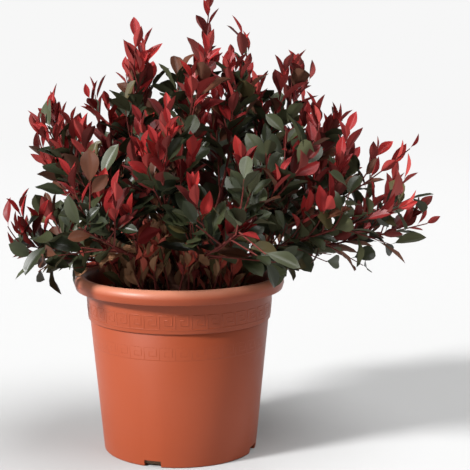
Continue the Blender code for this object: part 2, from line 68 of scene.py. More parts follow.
# The pot.
POT_HEIGHT = 0.237
BASE_RADIUS = 0.103
BASE_EDGE = 0.002
STEP_HEIGHT = 0.179
BODY_TOP_RADIUS = 0.1194
COLLAR_LOW_RADIUS = 0.1220
COLLAR_TOP_RADIUS = 0.1248
LIP_RADIUS = 0.140
LIP_WIDEST_Z = 0.2264
LIP_FOOT_Z = 0.2185
LIP_FOOT_RADIUS = 0.1372
LIP_HOLLOW_Z = 0.2304
CREST_RADIUS = 0.1312
WALL = 0.0025
FLOOR = 0.003
GROOVE_RADIUS = BODY_TOP_RADIUS - 0.0006
# Runs of its section, as radius and height.
INNER_WALL = ((0.0, FLOOR), (BASE_RADIUS - WALL, FLOOR), (BODY_TOP_RADIUS - WALL, STEP_HEIGHT),
              (COLLAR_TOP_RADIUS - WALL, LIP_FOOT_Z))
LIP_HOLLOW = ((LIP_FOOT_RADIUS - WALL, LIP_FOOT_Z + 0.0002), (LIP_FOOT_RADIUS - WALL, LIP_HOLLOW_Z),
              (COLLAR_TOP_RADIUS + 0.0018, LIP_HOLLOW_Z), (COLLAR_TOP_RADIUS + 0.0003, LIP_HOLLOW_Z - 0.004),
              (COLLAR_TOP_RADIUS, LIP_FOOT_Z))
STEP_GROOVE = ((GROOVE_RADIUS, STEP_HEIGHT), (GROOVE_RADIUS, STEP_HEIGHT - 0.0012),
               (BODY_TOP_RADIUS, STEP_HEIGHT - 0.0022))
# Arcs of its section: centre, radii, first and last angle, and number of points.
INNER_CREST = ((CREST_RADIUS, POT_HEIGHT - 0.0060), (0.0068, 0.0060), 170.0, 95.0, 6)
LIP_ROLL = ((CREST_RADIUS, LIP_WIDEST_Z), (LIP_RADIUS - CREST_RADIUS, POT_HEIGHT - LIP_WIDEST_Z),
            90.0, -6.0, 13)
LIP_EDGE = ((LIP_FOOT_RADIUS - 0.0004, LIP_FOOT_Z + 0.0009), (0.0012, 0.0009), -10.0, -90.0, 4)
COLLAR_EDGE = ((COLLAR_LOW_RADIUS - 0.0010, STEP_HEIGHT + 0.0012), (0.0010, 0.0010), 0.0, -90.0, 5)
FOOT_EDGE = ((BASE_RADIUS - BASE_EDGE, BASE_EDGE), (BASE_EDGE, BASE_EDGE), 0.0, -90.0, 5)
SLOT_COUNT = 4
SLOT_SIZE = (0.028, 0.023, 0.017)
SLOT_FIRST_AZIMUTH = 252.0
SHARP_ANGLE = 40.0

# The raised meander bands: foot of each band, its height and how many keys go round.
MEANDERS = {"collar_meander": (0.1850, 0.0225, 38), "body_meander": (0.1445, 0.0205, 36)}
# One key on a grid of five steps, as a line that leaves the baseline and turns inwards.
KEY_LINE = ((5.0, 0.0), (0.0, 0.0), (0.0, 4.0), (4.0, 4.0), (4.0, 1.3), (1.6, 1.3), (1.6, 2.7), (2.8, 2.7))
KEY_STEPS = 5.0

# The compost: its level, dome, lumps as height and waves, and gaps to the wall and the floor.
SOIL_TOP = 0.2100
SOIL_DOME = 0.0015
SOIL_RINGS = 30
SOIL_SEGMENTS = 96
SOIL_LUMPS = ((0.0011, 310.0), (0.0007, 790.0))
SOIL_GAP = 0.0009
SOIL_FOOT = FLOOR + 0.0003
# The chips on it: least and greatest turn and proportions, and the share of dark ones.
CHIP_TURNS = ((-0.5, -0.5, 0.0), (0.5, 0.5, 6.283))
CHIP_SHAPES = ((0.8, 0.3, 0.2), (1.3, 0.7, 0.4))
DARK_CHIPS = 0.72

# The stool in it: its head as shares of the neck's radius and of the height, and its foot as
# shares of the flare's radius and heights over the compost.
STOOL_HEIGHT = 0.026
STOOL_FLARE_RADIUS = 0.0215
STOOL_NECK_RADIUS = 0.0125
STOOL_LEAN = 0.003
STOOL_LOBES = 4
STOOL_LOBE_DEPTH = 0.14
STOOL_HEAD = ((0.0, 1.0), (0.50, 0.96), (0.86, 0.85), (1.0, 0.65), (1.08, 0.38), (1.30, 0.17))
STOOL_FOOT = ((1.0, 0.0006), (1.02, -0.003), (0.0, -0.003))
STOOL_SEGMENTS = 24
# Its rough relief: depth, number of waves, and the ranges of their rates, phases and lobes.
STOOL_RELIEF = 0.012
STOOL_WAVES = 9
STOOL_RATES = (150.0, 900.0)
STOOL_PHASES = (0.0, 6.3)
STOOL_WAVE_LOBES = (3, 11)

# The crown's outline and the limbs, by the rule of the frame's solids.
CROWN_FOOT = Vector((0.0, 0.0, 0.2200))
CROWN_HALF_WIDTH = 0.306
CROWN_HALF_DEPTH = 0.284
CROWN_RISE = 0.378
CROWN_SHIFTS = (0.068, 0.018)
# The crown's left and right side, between which the leaders' stops change.
SIDES = (-0.24, 0.36)
SKIRT_HEIGHT = 0.205
SKIRT_FRONT_RISE = 0.17
# On the far right the skirt is higher: from which X, over what run, and by how much.
SKIRT_RIGHT = (0.152, 0.030, 0.038)
# Hollows of the outline seen from the front: direction from the crown's foot, half width and
# depth, and how steeply they begin.
HOLLOWS = ((117.0, 6.0, 0.06), (69.0, 8.0, 0.10), (52.0, 10.0, 0.11))
HOLLOW_FALL = 1.5
# Over the middle of the pot's front the leaves keep higher, so that the stems in its mouth show.
MOUTH_RISE = 0.37
MOUTH_MIDDLE = -0.045
MOUTH_HALF_WIDTHS = (0.11, 0.17)
# Each stem: its azimuth, and the rise and vigour of its boughs.
STEMS = (
    (3.0, ((12.0, 1.00), (30.0, 1.00), (55.0, 0.95))),
    (34.0, ((22.0, 0.99), (42.0, 0.97), (69.0, 0.94))),
    (82.0, ((15.0, 0.95), (38.0, 0.97), (85.0, 1.00))),
    (131.0, ((14.0, 0.96), (42.0, 0.95), (64.0, 0.88))),
    (178.0, ((9.0, 0.98), (30.0, 1.00), (56.0, 0.88))),
    (224.0, ((18.0, 0.97), (38.0, 0.99), (70.0, 0.98))),
    (270.0, ((19.0, 0.96), (36.0, 0.98), (60.0, 0.96))),
    (322.0, ((20.0, 0.98), (37.0, 0.98), (74.0, 0.96))),
)
STEM_SEAT = 0.50
STEM_SEAT_RADIUS = 0.0085
STEM_LEAN = 54.0
STEM_CURVE = 6.0
STEM_LENGTH = 0.052
STEM_RADII = (0.0036, 0.0028)
ROOTED_RADII = (0.00396, 0.0028)
BOUGH_NAMES = ("low", "mid", "high")
LEVELS = len(BOUGH_NAMES)
BOUGH_DEPARTURES = (0.40, 0.76, 1.0)
BOUGH_SWING = (9.0, -13.0, 7.0)
BOUGH_SHARE = 0.22
BOUGH_RADII = (0.0024, 0.0019)
BOUGH_BOW = 0.42
BOUGH_DIPS = (0.08, 0.32)
LEADER_RADII = (0.0019, 0.0008)
LEADER_STOPS = (0.020, 0.004)
# How far the topmost leaders sway to the side on their way up, by stem and level.
LEADER_SWAYS = {(2, 2): 0.022, (5, 2): -0.007}
LEADER_FIRST_LEAF = 0.34
LEADER_SPACING = 1.5

# Shoots that leave a leader, and the side twigs on the first of them.
SHOOT_COUNTS = (17, 12, 7)
SHOOT_PLACES = (0.10, 0.95)
SHOOT_LENGTHS = (0.105, 0.062)
SHOOT_VARIETY = (0.80, 1.20)
SHOOT_RADII = (0.0012, 0.0006)
SHOOT_SPREADS = (48.0, 42.0, 30.0)
SHOOT_RISE = 0.62
SHOOT_CURL = 0.45
SHOOT_FIRST_LEAF = 0.14
# Every third shoot of a low leader spreads flat under it.
FLAT_SHOOTS = 3
FLAT_RISE = -0.30
FLAT_LEAF_RISES = (0.0, -0.10)
SHOOT_REACHES = (0.80, 1.04)
LEAF_REACH = 0.05
# Leaves reach least past the outline low on the left, and most at the top and on the right.
LEAF_LIMITS = (0.965, 1.055)
LEAF_LIMIT_START = (-0.20, 0.35)
LEAF_LIMIT_RUN = (0.40, 0.12)
# A shoot without room turns round its carrier and gets shorter at each new try.
SHOOT_TRIES = 7
SHOOT_TURN = 33.0
SHOOT_SHRINK = 0.07
SIDE_TWIGS = 3
SIDE_TWIG_LENGTH = 0.052
SIDE_TWIG_PLACE = 0.45
SIDE_TWIG_FIRST_LEAF = 0.30
# Red shoots are more frequent towards the left and the right side, and rare deep inside.
SIDE_FLUSHES = (3.4, 2.3)
FLUSH_DEPTH = 0.42
FLUSH_INSIDE = 0.22
# Sprays low on the left turn bronze at their tips.
BRONZED_SIDE = -0.14
BRONZED_SHARE = 0.35
GREEN_SPACING = 1.25
# Age of the oldest leaf on a red shoot at a leader's foot and at its tip.
OLDEST_LEAVES = (1.0, 0.66)

# Young shoots that rise through the compost.
BASAL_SHOOTS = 44
BASAL_RADII = (0.018, 0.085)
BASAL_LENGTHS = (0.055, 0.110)
BASAL_SINK = 0.002
BASAL_LEAN = 0.45
BASAL_UPRIGHT_RADIUS = 0.12
BASAL_SIDEWAYS = 0.2
BASAL_THICKNESS = (0.0016, 0.0007)
BASAL_LEAVES = (0.08, 0.68)
# Short shoots on the limbs in the pot's mouth: stretches of wood and leader that bear them.
MOUTH_SHOOTS = 3
MOUTH_STRETCHES = ((0.15, 0.98), (0.0, 0.45))
MOUTH_LEANS = (0.2, 1.3)
MOUTH_SHOOT_LENGTHS = (0.035, 0.085)
MOUTH_LEAVES = (0.10, 0.8)
SHADED_BOW = 0.006
MOUTH_TOP = 0.310
DEEP_TOP = 0.230
GOLDEN_ANGLE = 137.5
MASS_OVERLAP = 0.022
POT_CLEARANCE = 0.0040
SECTION_LENGTH = 0.006
# Every so many points of a leader stand for it where distances from it are taken.
PATH_STEP = 4

# Forms of a leaf: newest and oldest value, between which age draws it.
LEAF_LENGTHS = (0.021, 0.043)
LEAF_HALF_WIDTHS = (0.185, 0.262)
LEAF_SPREADS = (16.0, 60.0)
LEAF_RISES = (0.35, 0.32)
LEAF_FOLDS = (32.0, 9.0)
LEAF_ARCHES = (10.0, 30.0)
LEAF_WAVINESS = (0.5, 1.0)
# How much single leaves differ: shares of a size, or degrees, and the twist in radians.
LENGTH_VARIETY = (0.70, 1.20)
WIDTH_VARIETY = (0.88, 1.12)
ARCH_VARIETY = (0.3, 1.5)
FOLD_VARIETY = (0.7, 1.3)
LEAF_WAVES = (0.02, 0.16)
LEAF_LOOSENESS = 16.0
LEAF_TILT = 24.0
LEAF_TWIST = 0.25
LEAST_ARCH = 0.02
# How soon a leaf is full-grown, where its room is tested, and what it faces: outwards and up.
LEAF_GROWTH = (2.6, 0.7)
LEAF_PROBES = (0.4, 0.7, 1.0)
LEAF_FACING = (0.9, 0.7)
# Leaves along a shoot come closer together towards its tip.
CROWDING = 1.15
FEWEST_LEAVES = 4
SHADED_SIZE = 0.8
# Skew and fullness of a blade's outline: red leaves are pointed, the others broad past the middle.
RED_OUTLINE = (0.92, 1.0)
BROAD_OUTLINE = (1.15, 0.72)
PETIOLE_SHARE = 0.14
PETIOLE_WIDTH = 0.0005
GROOVE_DEPTH = 0.0004
# A blade is a sheet of few faces for each side; edges that bend by more than this are its rim.
BLADE_GRID = {"Size X": 1.0, "Size Y": 2.0, "Vertices X": 8, "Vertices Y": 5}
RIM_ANGLE = 1.9
# How its rows draw to the midrib, how soon its stalk is full, its ripple's rate and phases, and
# how narrow the groove on its midrib is.
MIDRIB_DRAW = 0.7
STALK_RISE = 9.0
RIPPLE = (11.0, 60.0)
GROOVE_FALL = 5.0

# Grains: the noise's scale, detail and stretch, and the strength and depth of its relief.
PLASTIC_GRAIN = (1400.0, 2.0, EVEN, 0.10, 0.0004)
COMPOST_GRAIN = (500.0, 5.0, EVEN, 1.0, 0.0015)
CHIP_GRAIN = (900.0, 4.0, (1.0, 0.2, 1.0), 0.8, 0.0008)
BARK_GRAIN = (420.0, 5.0, (1.0, 1.0, 0.35), 0.8, 0.0009)
YOUNG_BARK_GRAIN = (700.0, 5.0, (1.0, 1.0, 0.35), 0.8, 0.0003)
# How much paler the patches on old and young bark are.
BARK_PATCHES = (1.9, 1.6)
# The bloom on the plastic, how strongly a highlight is painted onto its lip's crest, its least roughness and
# how that varies.
BLOOM = 0.30
PAINTED_CREST_HIGHLIGHT = 0.55
PLASTIC_ROUGHNESS = (0.34, 0.16)
# Roughness of the clear coats.
COAT_ROUGHNESS = 0.25
PLASTIC_COAT_ROUGHNESS = 0.36
# Sides of the tubes, their relief as a share of the setting, and the scale of their cracks.
LIMB_TUBES = (12, 1.0, 260.0)
TWIG_TUBES = (6, 0.5, 500.0)

# The floor's reach, and between which distances from the pot it turns into the horizon.
FLOOR_RADIUS = 30.0
FLOOR_FADE = (0.9, 7.0)
# The sky is as pale as the horizon up to this height, and as fast as this it gets dim above.
HORIZON_TOP = 0.05
HORIZON_FALL = 8.0
# The lights: which setting gives the strength, where they shine from, and their disc in degrees.
LIGHTS = (("key", (-1.65, -1.05, 1.27), 11.0), ("top", (1.0, -0.5, 2.6), 50.0),
          ("fill", (-1.2, -1.7, 0.42), 30.0))

# Tints: upper face, lower face, roughness, coat, shine and a slot, which only picks the blade's outline.
TINTS = {
    "dark_green": ((0.015, 0.0185, 0.008), (0.040, 0.042, 0.021), 0.42, 0.06, 0.23, "green_foliage"),
    "green": ((0.027, 0.031, 0.013), (0.055, 0.057, 0.028), 0.44, 0.05, 0.23, "green_foliage"),
    "grey_green": ((0.045, 0.051, 0.027), (0.075, 0.078, 0.046), 0.46, 0.05, 0.23, "green_foliage"),
    "olive": ((0.062, 0.049, 0.017), (0.082, 0.068, 0.028), 0.50, 0.03, 0.23, "green_foliage"),
    # Tan and russet are lighter than the mouth's shaded leaves would be: painted fill light in the shade of
    # the pot's mouth.
    "tan": ((0.235, 0.118, 0.062), (0.245, 0.130, 0.070), 0.50, 0.02, 0.11, "bronze_foliage"),
    "bronze": ((0.066, 0.023, 0.012), (0.098, 0.042, 0.026), 0.48, 0.04, 0.11, "bronze_foliage"),
    "maroon": ((0.068, 0.009, 0.008), (0.102, 0.019, 0.016), 0.46, 0.03, 0.11, "bronze_foliage"),
    "russet": ((0.350, 0.058, 0.038), (0.370, 0.080, 0.054), 0.48, 0.03, 0.11, "red_foliage"),
    "wine": ((0.122, 0.010, 0.010), (0.152, 0.024, 0.021), 0.46, 0.03, 0.11, "red_foliage"),
    "crimson": ((0.190, 0.012, 0.012), (0.230, 0.027, 0.024), 0.46, 0.03, 0.11, "red_foliage"),
    "scarlet": ((0.235, 0.016, 0.014), (0.265, 0.035, 0.030), 0.46, 0.03, 0.11, "red_foliage"),
}
# How much rougher the lower face is, and its shine.
BACK_ROUGHER = 0.15
BACK_SHINE = 0.15
GREENS = {"dark_green": 6, "green": 5, "grey_green": 1, "olive": 1, "bronze": 1}
OLD_FLUSH = {"dark_green": 8, "green": 4, "grey_green": 1, "maroon": 2, "bronze": 3}
TURNING = {"maroon": 4, "bronze": 3, "wine": 4, "dark_green": 3, "crimson": 2}
YOUNG_FLUSH = {"crimson": 6, "wine": 5, "maroon": 2, "scarlet": 2}
NEW_FLUSH = {"scarlet": 4, "crimson": 6, "wine": 2}
BRONZED = {"bronze": 5, "russet": 4, "wine": 3, "maroon": 3, "olive": 2, "dark_green": 1}
# Leaves in the pot's mouth take brown and red tints, chosen light as painted fill light in the mouth's shade;
# the deep set, low in the mouth where the shade is deepest, is palest.
SHADED = {"olive": 3, "tan": 6, "russet": 5, "wine": 1, "crimson": 1}
DEEP = {"tan": 7, "olive": 1, "russet": 4}
# Kinds of shoot: age at the foot, how far it falls to the tip, least age, and the tints past each age.
SHOOT_KINDS = {
    "flushed": (1.0, 1.05, 0.14, ((0.62, OLD_FLUSH), (0.44, TURNING), (0.18, YOUNG_FLUSH), (0.0, NEW_FLUSH))),
    "bronzed": (1.0, 0.90, 0.10, ((0.66, OLD_FLUSH), (0.0, BRONZED))),
    "shaded": (0.36, 0.26, 0.0, ((0.0, SHADED),)),
    "green": (1.0, 0.45, 0.0, ((0.0, GREENS),)),
}


def operator_pair(operation):
    """An operator between wires and values that adds a node, and its reflected form."""
    return (lambda wire, other: wire.maker.maths(operation, wire, other),
            lambda wire, other: wire.maker.maths(operation, other, wire))


class Wire:
    """A socket that takes part in expressions; each operator adds a node to its tree."""

    def __init__(self, maker, socket):
        self.maker = maker
        self.socket = socket
        self.is_vector = socket.type in ("VECTOR", "RGBA")

    __add__, __radd__ = operator_pair("ADD")
    __sub__, __rsub__ = operator_pair("SUBTRACT")
    __mul__, __rmul__ = operator_pair("MULTIPLY")
    __truediv__, __rtruediv__ = operator_pair("DIVIDE")
    __pow__, __rpow__ = operator_pair("POWER")
    __gt__, __lt__ = operator_pair("GREATER_THAN")


class Maker:
    """Adds nodes to one node tree and joins them up."""

    def __init__(self, tree):
        self.tree = tree

    def plug(self, socket, value):
        """Links a wire, or a list of wires, into a socket, or sets the socket to a plain value."""
        if isinstance(value, (Wire, list)):
            for wire in value if isinstance(value, list) else [value]:
                self.tree.links.new(wire.socket, socket)
        else:
            socket.default_value = value

    def fill(self, node, inputs):
        """Gives a node's sockets, by name or by place, their values or links."""
        for key, value in inputs.items():
            self.plug(pick(node.inputs, key), value)

    def node(self, kind, inputs=None, settings=None, output=0):
        """A node by type, with its settings and its sockets' values; gives one of its outputs."""
        made = self.tree.nodes.new(kind)
        for name, value in (settings or {}).items():
            setattr(made, name, value)
        self.fill(made, inputs or {})
        return Wire(self, pick(made.outputs, output))

    def change(self, geometry, kind, inputs=None, settings=None):
        """The geometry after a geometry node that changes it."""
        return self.node("GeometryNode" + kind, {"Geometry": geometry, **(inputs or {})}, settings)

    def swept(self, paths, ring, inputs=None):
        """Closed tubes with a ring's outline along the edge paths of a mesh."""
        curve = self.node("GeometryNodeMeshToCurve", {"Mesh": paths})
        tube = {"Curve": curve, "Profile Curve": ring, "Fill Caps": True, **(inputs or {})}
        return self.node("GeometryNodeCurveToMesh", tube)

    def painted(self, geometry, material, where=True):
        """The geometry with a material on it, or on the part that a selection gives."""
        return self.change(geometry, "SetMaterial", {"Selection": where, "Material": material})

    def maths(self, operation, *operands):
        """A Math node, or a Vector Math node where an operand is a vector."""
        vectors = [isinstance(one, Wire) and one.is_vector for one in operands]
        settings = {"operation": operation}
        inputs = dict(enumerate(operands))
        if not any(vectors):
            return self.node("ShaderNodeMath", inputs, settings)
        if operation == "MULTIPLY" and not all(vectors):
            vector, scale = operands if vectors[0] else operands[::-1]
            settings = {"operation": "SCALE"}
            inputs = {0: vector, "Scale": scale}
        return self.node("ShaderNodeVectorMath", inputs, settings)

    def positive(self, value):
        """A value, or zero where it is below zero."""
        return self.maths("MAXIMUM", value, 0.0)

    def circle(self, angle):
        """The cosine and the sine of an angle."""
        return self.maths("COSINE", angle), self.maths("SINE", angle)

    def parts(self, vector):
        """The three components of a vector."""
        made = self.tree.nodes.new("ShaderNodeSeparateXYZ")
        self.plug(made.inputs[0], vector)
        return [Wire(self, output) for output in made.outputs]

    def vector(self, across, along, up):
        """A vector from three components."""
        return self.node("ShaderNodeCombineXYZ", {0: across, 1: along, 2: up})

    def varied(self, least, greatest, seed, kind="FLOAT"):
        """A random value between two for each element."""
        inputs = {"Min": least, "Max": greatest, "Seed": seed}
        return self.node("FunctionNodeRandomValue", inputs, {"data_type": kind})

    def named(self, name, kind="FLOAT"):
        """A named attribute of the geometry."""
        return self.node("GeometryNodeInputNamedAttribute", {"Name": name}, {"data_type": kind})

    def stored(self, geometry, name, value, domain="POINT"):
        """The geometry with a number stored on it under a name."""
        inputs = {"Name": name, "Value": value}
        return self.change(geometry, "StoreNamedAttribute", inputs, {"data_type": "FLOAT", "domain": domain})


def pick(sockets, key):
    """An enabled socket by name or by place among the enabled ones."""
    usable = [socket for socket in sockets if socket.enabled]
    if isinstance(key, int):
        return usable[key]
    return next(socket for socket in usable if socket.name == key)


def geometry_tree(name, **inputs):
    """A new geometry tree, with its inputs named by kind; gives the maker and a wire for each."""
    tree = bpy.data.node_groups.new(name, "GeometryNodeTree")
    for kind, labels in {"Geometry": "Geometry", **inputs}.items():
        for label in labels.split(", "):
            tree.interface.new_socket(label, in_out="INPUT", socket_type="NodeSocket" + kind)
    tree.interface.new_socket("Geometry", in_out="OUTPUT", socket_type="NodeSocketGeometry")
    maker = Maker(tree)
    entry = tree.nodes.new("NodeGroupInput")
    return maker, {socket.name: Wire(maker, socket) for socket in entry.outputs if socket.name}


def finish_tree(maker, geometry):
    """Ends a geometry tree with the geometry that it gives."""
    maker.plug(maker.tree.nodes.new("NodeGroupOutput").inputs[0], geometry)
    return maker.tree


def placed(name, data):
    """A new object in the scene."""
    item = bpy.data.objects.new(name, data)
    bpy.context.scene.collection.objects.link(item)
    return item


def from_body(name, body):
    """A new object from a body that was being built, which is then freed."""
    mesh = bpy.data.meshes.new(name)
    body.to_mesh(mesh)
    body.free()
    return placed(name, mesh)


def grown(name, mesh, tree, inputs):
    """A plain mesh object from running a geometry tree on a mesh."""
    item = placed(name, mesh)
    modifier = item.modifiers.new("grow", "NODES")
    modifier.node_group = tree
    for socket in tree.interface.items_tree:
        if socket.in_out == "INPUT" and socket.name in inputs:
            modifier[socket.identifier] = inputs[socket.name]
    return made_plain(item)


def made_plain(item):
    """Applies an object's modifiers, and drops the attributes that only its making used."""
    depsgraph = bpy.context.evaluated_depsgraph_get()
    mesh = bpy.data.meshes.new_from_object(item.evaluated_get(depsgraph))
    item.modifiers.clear()
    item.data = mesh
    mesh.name = item.name
    for name in [one.name for one in mesh.attributes]:
        if name in WORKING_NAMES:
            mesh.attributes.remove(mesh.attributes[name])
    return item


def joined(name, items):
    """One object of several, in the first one's place."""
    with bpy.context.temp_override(active_object=items[0], selected_editable_objects=items):
        bpy.ops.object.join()
    items[0].name = name
    return items[0]


def rides(item, nodes=()):
    """Fixes a finished piece to the plant's body and hides the frame's nodes that it stands for."""
    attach(item, BODY)
    if nodes:
        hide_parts(*nodes)


def nodes_named(*starts):
    """The frame's nodes whose names start in one of several ways."""
    return sorted(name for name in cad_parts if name.startswith(starts))


def line_mesh(name, runs):
    """A mesh of edges along runs of points."""
    points = []
    edges = []
    for run in runs:
        first = len(points)
        points += [tuple(point) for point in run]
        edges += [(index, index + 1) for index in range(first, len(points) - 1)]
    mesh = bpy.data.meshes.new(name)
    mesh.from_pydata(points, edges, [])
    return mesh


def limb_mesh(name, limbs):
    """A mesh of edge paths, one for each limb, that knows how thick it is at each point."""
    mesh = line_mesh(name, [limb.points for limb in limbs])
    attribute = mesh.attributes.new("thickness", "FLOAT", "POINT")
    attribute.data.foreach_set("value", [radius for limb in limbs for radius in limb.radii])
    return mesh


def leaf_mesh(name, leaves):
    """A mesh with a loose point for each leaf, which bears the leaf's attributes."""
    mesh = bpy.data.meshes.new(name)
    mesh.vertices.add(len(leaves))
    for key, values in zip(LEAF_ATTRIBUTES, zip(*leaves)):
        flat = np.array(values, np.float32).ravel()
        mesh.attributes.new(key, "FLOAT_VECTOR", "POINT").data.foreach_set("vector", flat)
        if key == "root":
            mesh.vertices.foreach_set("co", flat)
    return mesh


def rows(points):
    """An array with a row for each point."""
    return np.array([tuple(point) for point in points])


def unit(azimuth, elevation):
    """The direction at an azimuth from +X and an elevation above level, in degrees."""
    turn = math.radians(azimuth)
    rise = math.radians(elevation)
    return Vector((math.cos(rise) * math.cos(turn), math.cos(rise) * math.sin(turn), math.sin(rise)))


def between(pair, share):
    """The value at a share of the way from the first to the second of a pair."""
    return pair[0] + (pair[1] - pair[0]) * share


def crown_point(azimuth, rise, share):
    """A point at a share of the way from the crown's foot to its outline."""
    way = unit(azimuth, rise)
    across = way.x * CROWN_HALF_WIDTH + between(CROWN_SHIFTS, way.z)
    offset = Vector((across, way.y * CROWN_HALF_DEPTH, way.z * CROWN_RISE))
    return CROWN_FOOT + offset * share


def bent_path(start, control, end, first=0.0, last=1.0):
    """Points of a quadratic curve between two shares of its run, a section's length apart."""
    sections = max(2, round((end - start).length * (last - first) / SECTION_LENGTH))
    points = []
    for index in range(sections + 1):
        share = first + (last - first) * index / sections
        back = 1.0 - share
        points.append(start * back * back + control * 2.0 * back * share + end * share * share)
    return points


class Limb:
    """One tapering limb as a run of points with a radius at each."""

    def __init__(self, points, radii, leaf_rises=LEAF_RISES):
        self.points = points
        self.radii = [between(radii, index / (len(points) - 1)) for index in range(len(points))]
        self.leaf_rises = leaf_rises

    def at(self, share):
        """The point and the direction at a share of the run."""
        place = min(max(share, 0.0), 1.0) * (len(self.points) - 1)
        index = min(int(place), len(self.points) - 2)
        point = self.points[index].lerp(self.points[index + 1], place - index)
        return point, (self.points[index + 1] - self.points[index]).normalized()

    def cut(self, share):
        """Ends the run at the first point past a share of it."""
        kept = max(2, math.ceil(share * (len(self.points) - 1)) + 1)
        self.points = self.points[:kept]
        self.radii = self.radii[:kept]

    def length(self):
        """How long the run is."""
        return sum((after - point).length for point, after in zip(self.points, self.points[1:]))


def seat_in_frame(node, point, leaving):
    """Where the solid of a limb begins, along its direction from a point inside its carrier."""
    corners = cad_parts[node].data.vertices
    return point + leaving * min((corner.co - point).dot(leaving) for corner in corners)


def grow_stem(index):
    """A main stem that leaves the stool's shoulder and leans out, and its rooted path."""
    around = 360.0 * index / len(STEMS)
    leaning = unit(around, STEM_LEAN)
    lean = STOOL_LEAN * STEM_SEAT * STEM_SEAT
    seat = Vector((lean, 0.0, SOIL_TOP + STOOL_HEIGHT * STEM_SEAT))
    seat += unit(around, 0.0) * STEM_SEAT_RADIUS
    start = seat_in_frame("stem_%d" % (index + 1), seat, leaning)
    end = start + unit(STEMS[index][0], STEM_LEAN + STEM_CURVE) * STEM_LENGTH
    stem = Limb(bent_path(start, start + leaning * STEM_LENGTH * 0.5, end), STEM_RADII)
    return stem, Limb([seat] + stem.points, ROOTED_RADII)


def grow_bough(index, level, stem):
    """The bough of one level on a stem, rooted in it, and the leader that carries on from it."""
    azimuth, boughs = STEMS[index]
    rise, vigour = boughs[level]
    point, leaving = stem.at(BOUGH_DEPARTURES[level])
    outline = crown_point(azimuth + BOUGH_SWING[level], rise, vigour)
    aside = min(max((outline.x - SIDES[0]) / (SIDES[1] - SIDES[0]), 0.0), 1.0)
    tip = outline - (outline - CROWN_FOOT).normalized() * between(LEADER_STOPS, aside)
    if level < len(BOUGH_DIPS):
        leaving = ((tip - point).normalized() - UP * BOUGH_DIPS[level]).normalized()
    start = seat_in_frame("bough_%d_%s" % (index + 1, BOUGH_NAMES[level]), point, leaving)
    control = start + leaving * (tip - start).length * BOUGH_BOW
    bough = Limb([point] + bent_path(start, control, tip, last=BOUGH_SHARE), BOUGH_RADII)
    run = bent_path(start, control, tip, first=BOUGH_SHARE)
    sway = Vector((LEADER_SWAYS.get((index, level), 0.0), 0.0, 0.0))
    run = [place + sway * (step / (len(run) - 1)) ** 2 for step, place in enumerate(run)]
    limit = vigour * crown_limit(rows([tip]))[0]
    while crown_share(rows(run[-1:]))[0] > limit:
        run.pop()
    return bough, Limb(run, LEADER_RADII)


def side_direction(ahead, around, spread, rise):
    """A direction that leaves a line at a spread angle, turned round it, and drawn upwards."""
    level = ahead.cross(UP)
    if level.length < 0.05:
        level = Vector((1.0, 0.0, 0.0))
    across = Matrix.Rotation(math.radians(around), 3, ahead) @ level.normalized()
    lean = math.radians(spread)
    direction = ahead * math.cos(lean) + across * math.sin(lean)
    return (direction + UP * rise).normalized()


def path_distance(points, path):
    """Distance of each point in an array from the nearest stretch of a path."""
    nearest = np.full(len(points), np.inf)
    for first, second in zip(path[:-1], path[1:]):
        run = second - first
        share = np.clip((points - first) @ run / (run @ run), 0.0, 1.0)
        offset = points - first - share[:, None] * run
        nearest = np.minimum(nearest, np.sqrt((offset ** 2).sum(axis=1)))
    return nearest


def clear_of_pot(points):
    """True where no point is in or too near the pot, or in the compost."""
    out = np.hypot(points[:, 0], points[:, 1])
    high = points[:, 2]
    over = high > POT_HEIGHT + POT_CLEARANCE
    outside = out > LIP_RADIUS + POT_CLEARANCE
    inside = (out < COLLAR_TOP_RADIUS - WALL - POT_CLEARANCE) & (high > SOIL_TOP + POT_CLEARANCE)
    return bool(np.all(over | outside | inside))


def crown_share(points):
    """How far each point is from the crown's foot, as a share of the way to the outline."""
    offset = points - np.array(CROWN_FOOT)
    height = np.maximum(offset[:, 2], 0.0) / CROWN_RISE
    across = (offset[:, 0] - between(CROWN_SHIFTS, height)) / CROWN_HALF_WIDTH
    return np.sqrt(across ** 2 + (offset[:, 1] / CROWN_HALF_DEPTH) ** 2 + height ** 2)


def crown_limit(points):
    """The share of the way to the outline that the foliage reaches in each point's direction."""
    towards = np.degrees(np.arctan2(points[:, 2] - CROWN_FOOT.z, points[:, 0] - CROWN_FOOT.x))
    limit = np.ones(len(points))
    for direction, half_width, depth in HOLLOWS:
        inside = HOLLOW_FALL - HOLLOW_FALL * np.abs(towards - direction) / half_width
        limit -= depth * np.clip(inside, 0.0, 1.0)
    return limit


def within_crown(points, share=1.0):
    """True where no point passes a share of the crown's outline or hangs under its skirt."""
    inside = np.all(crown_share(points) < share * crown_limit(points))
    aside = np.abs(points[:, 0] - MOUTH_MIDDLE)
    inner, outer = MOUTH_HALF_WIDTHS
    mouth = MOUTH_RISE * np.clip((outer - aside) / (outer - inner), 0.0, 1.0)
    skirt = SKIRT_HEIGHT + (SKIRT_FRONT_RISE + mouth) * np.maximum(-points[:, 1], 0.0)
    start, run, rise = SKIRT_RIGHT
    skirt += rise * np.clip((points[:, 0] - start) / run, 0.0, 1.0)
    return bool(inside and np.all(points[:, 2] > skirt))


def bowed(start, end, aside):
    """Points of a short shoot that bows aside on its way."""
    return bent_path(start, start.lerp(end, 0.5) + aside * SHADED_BOW, end)


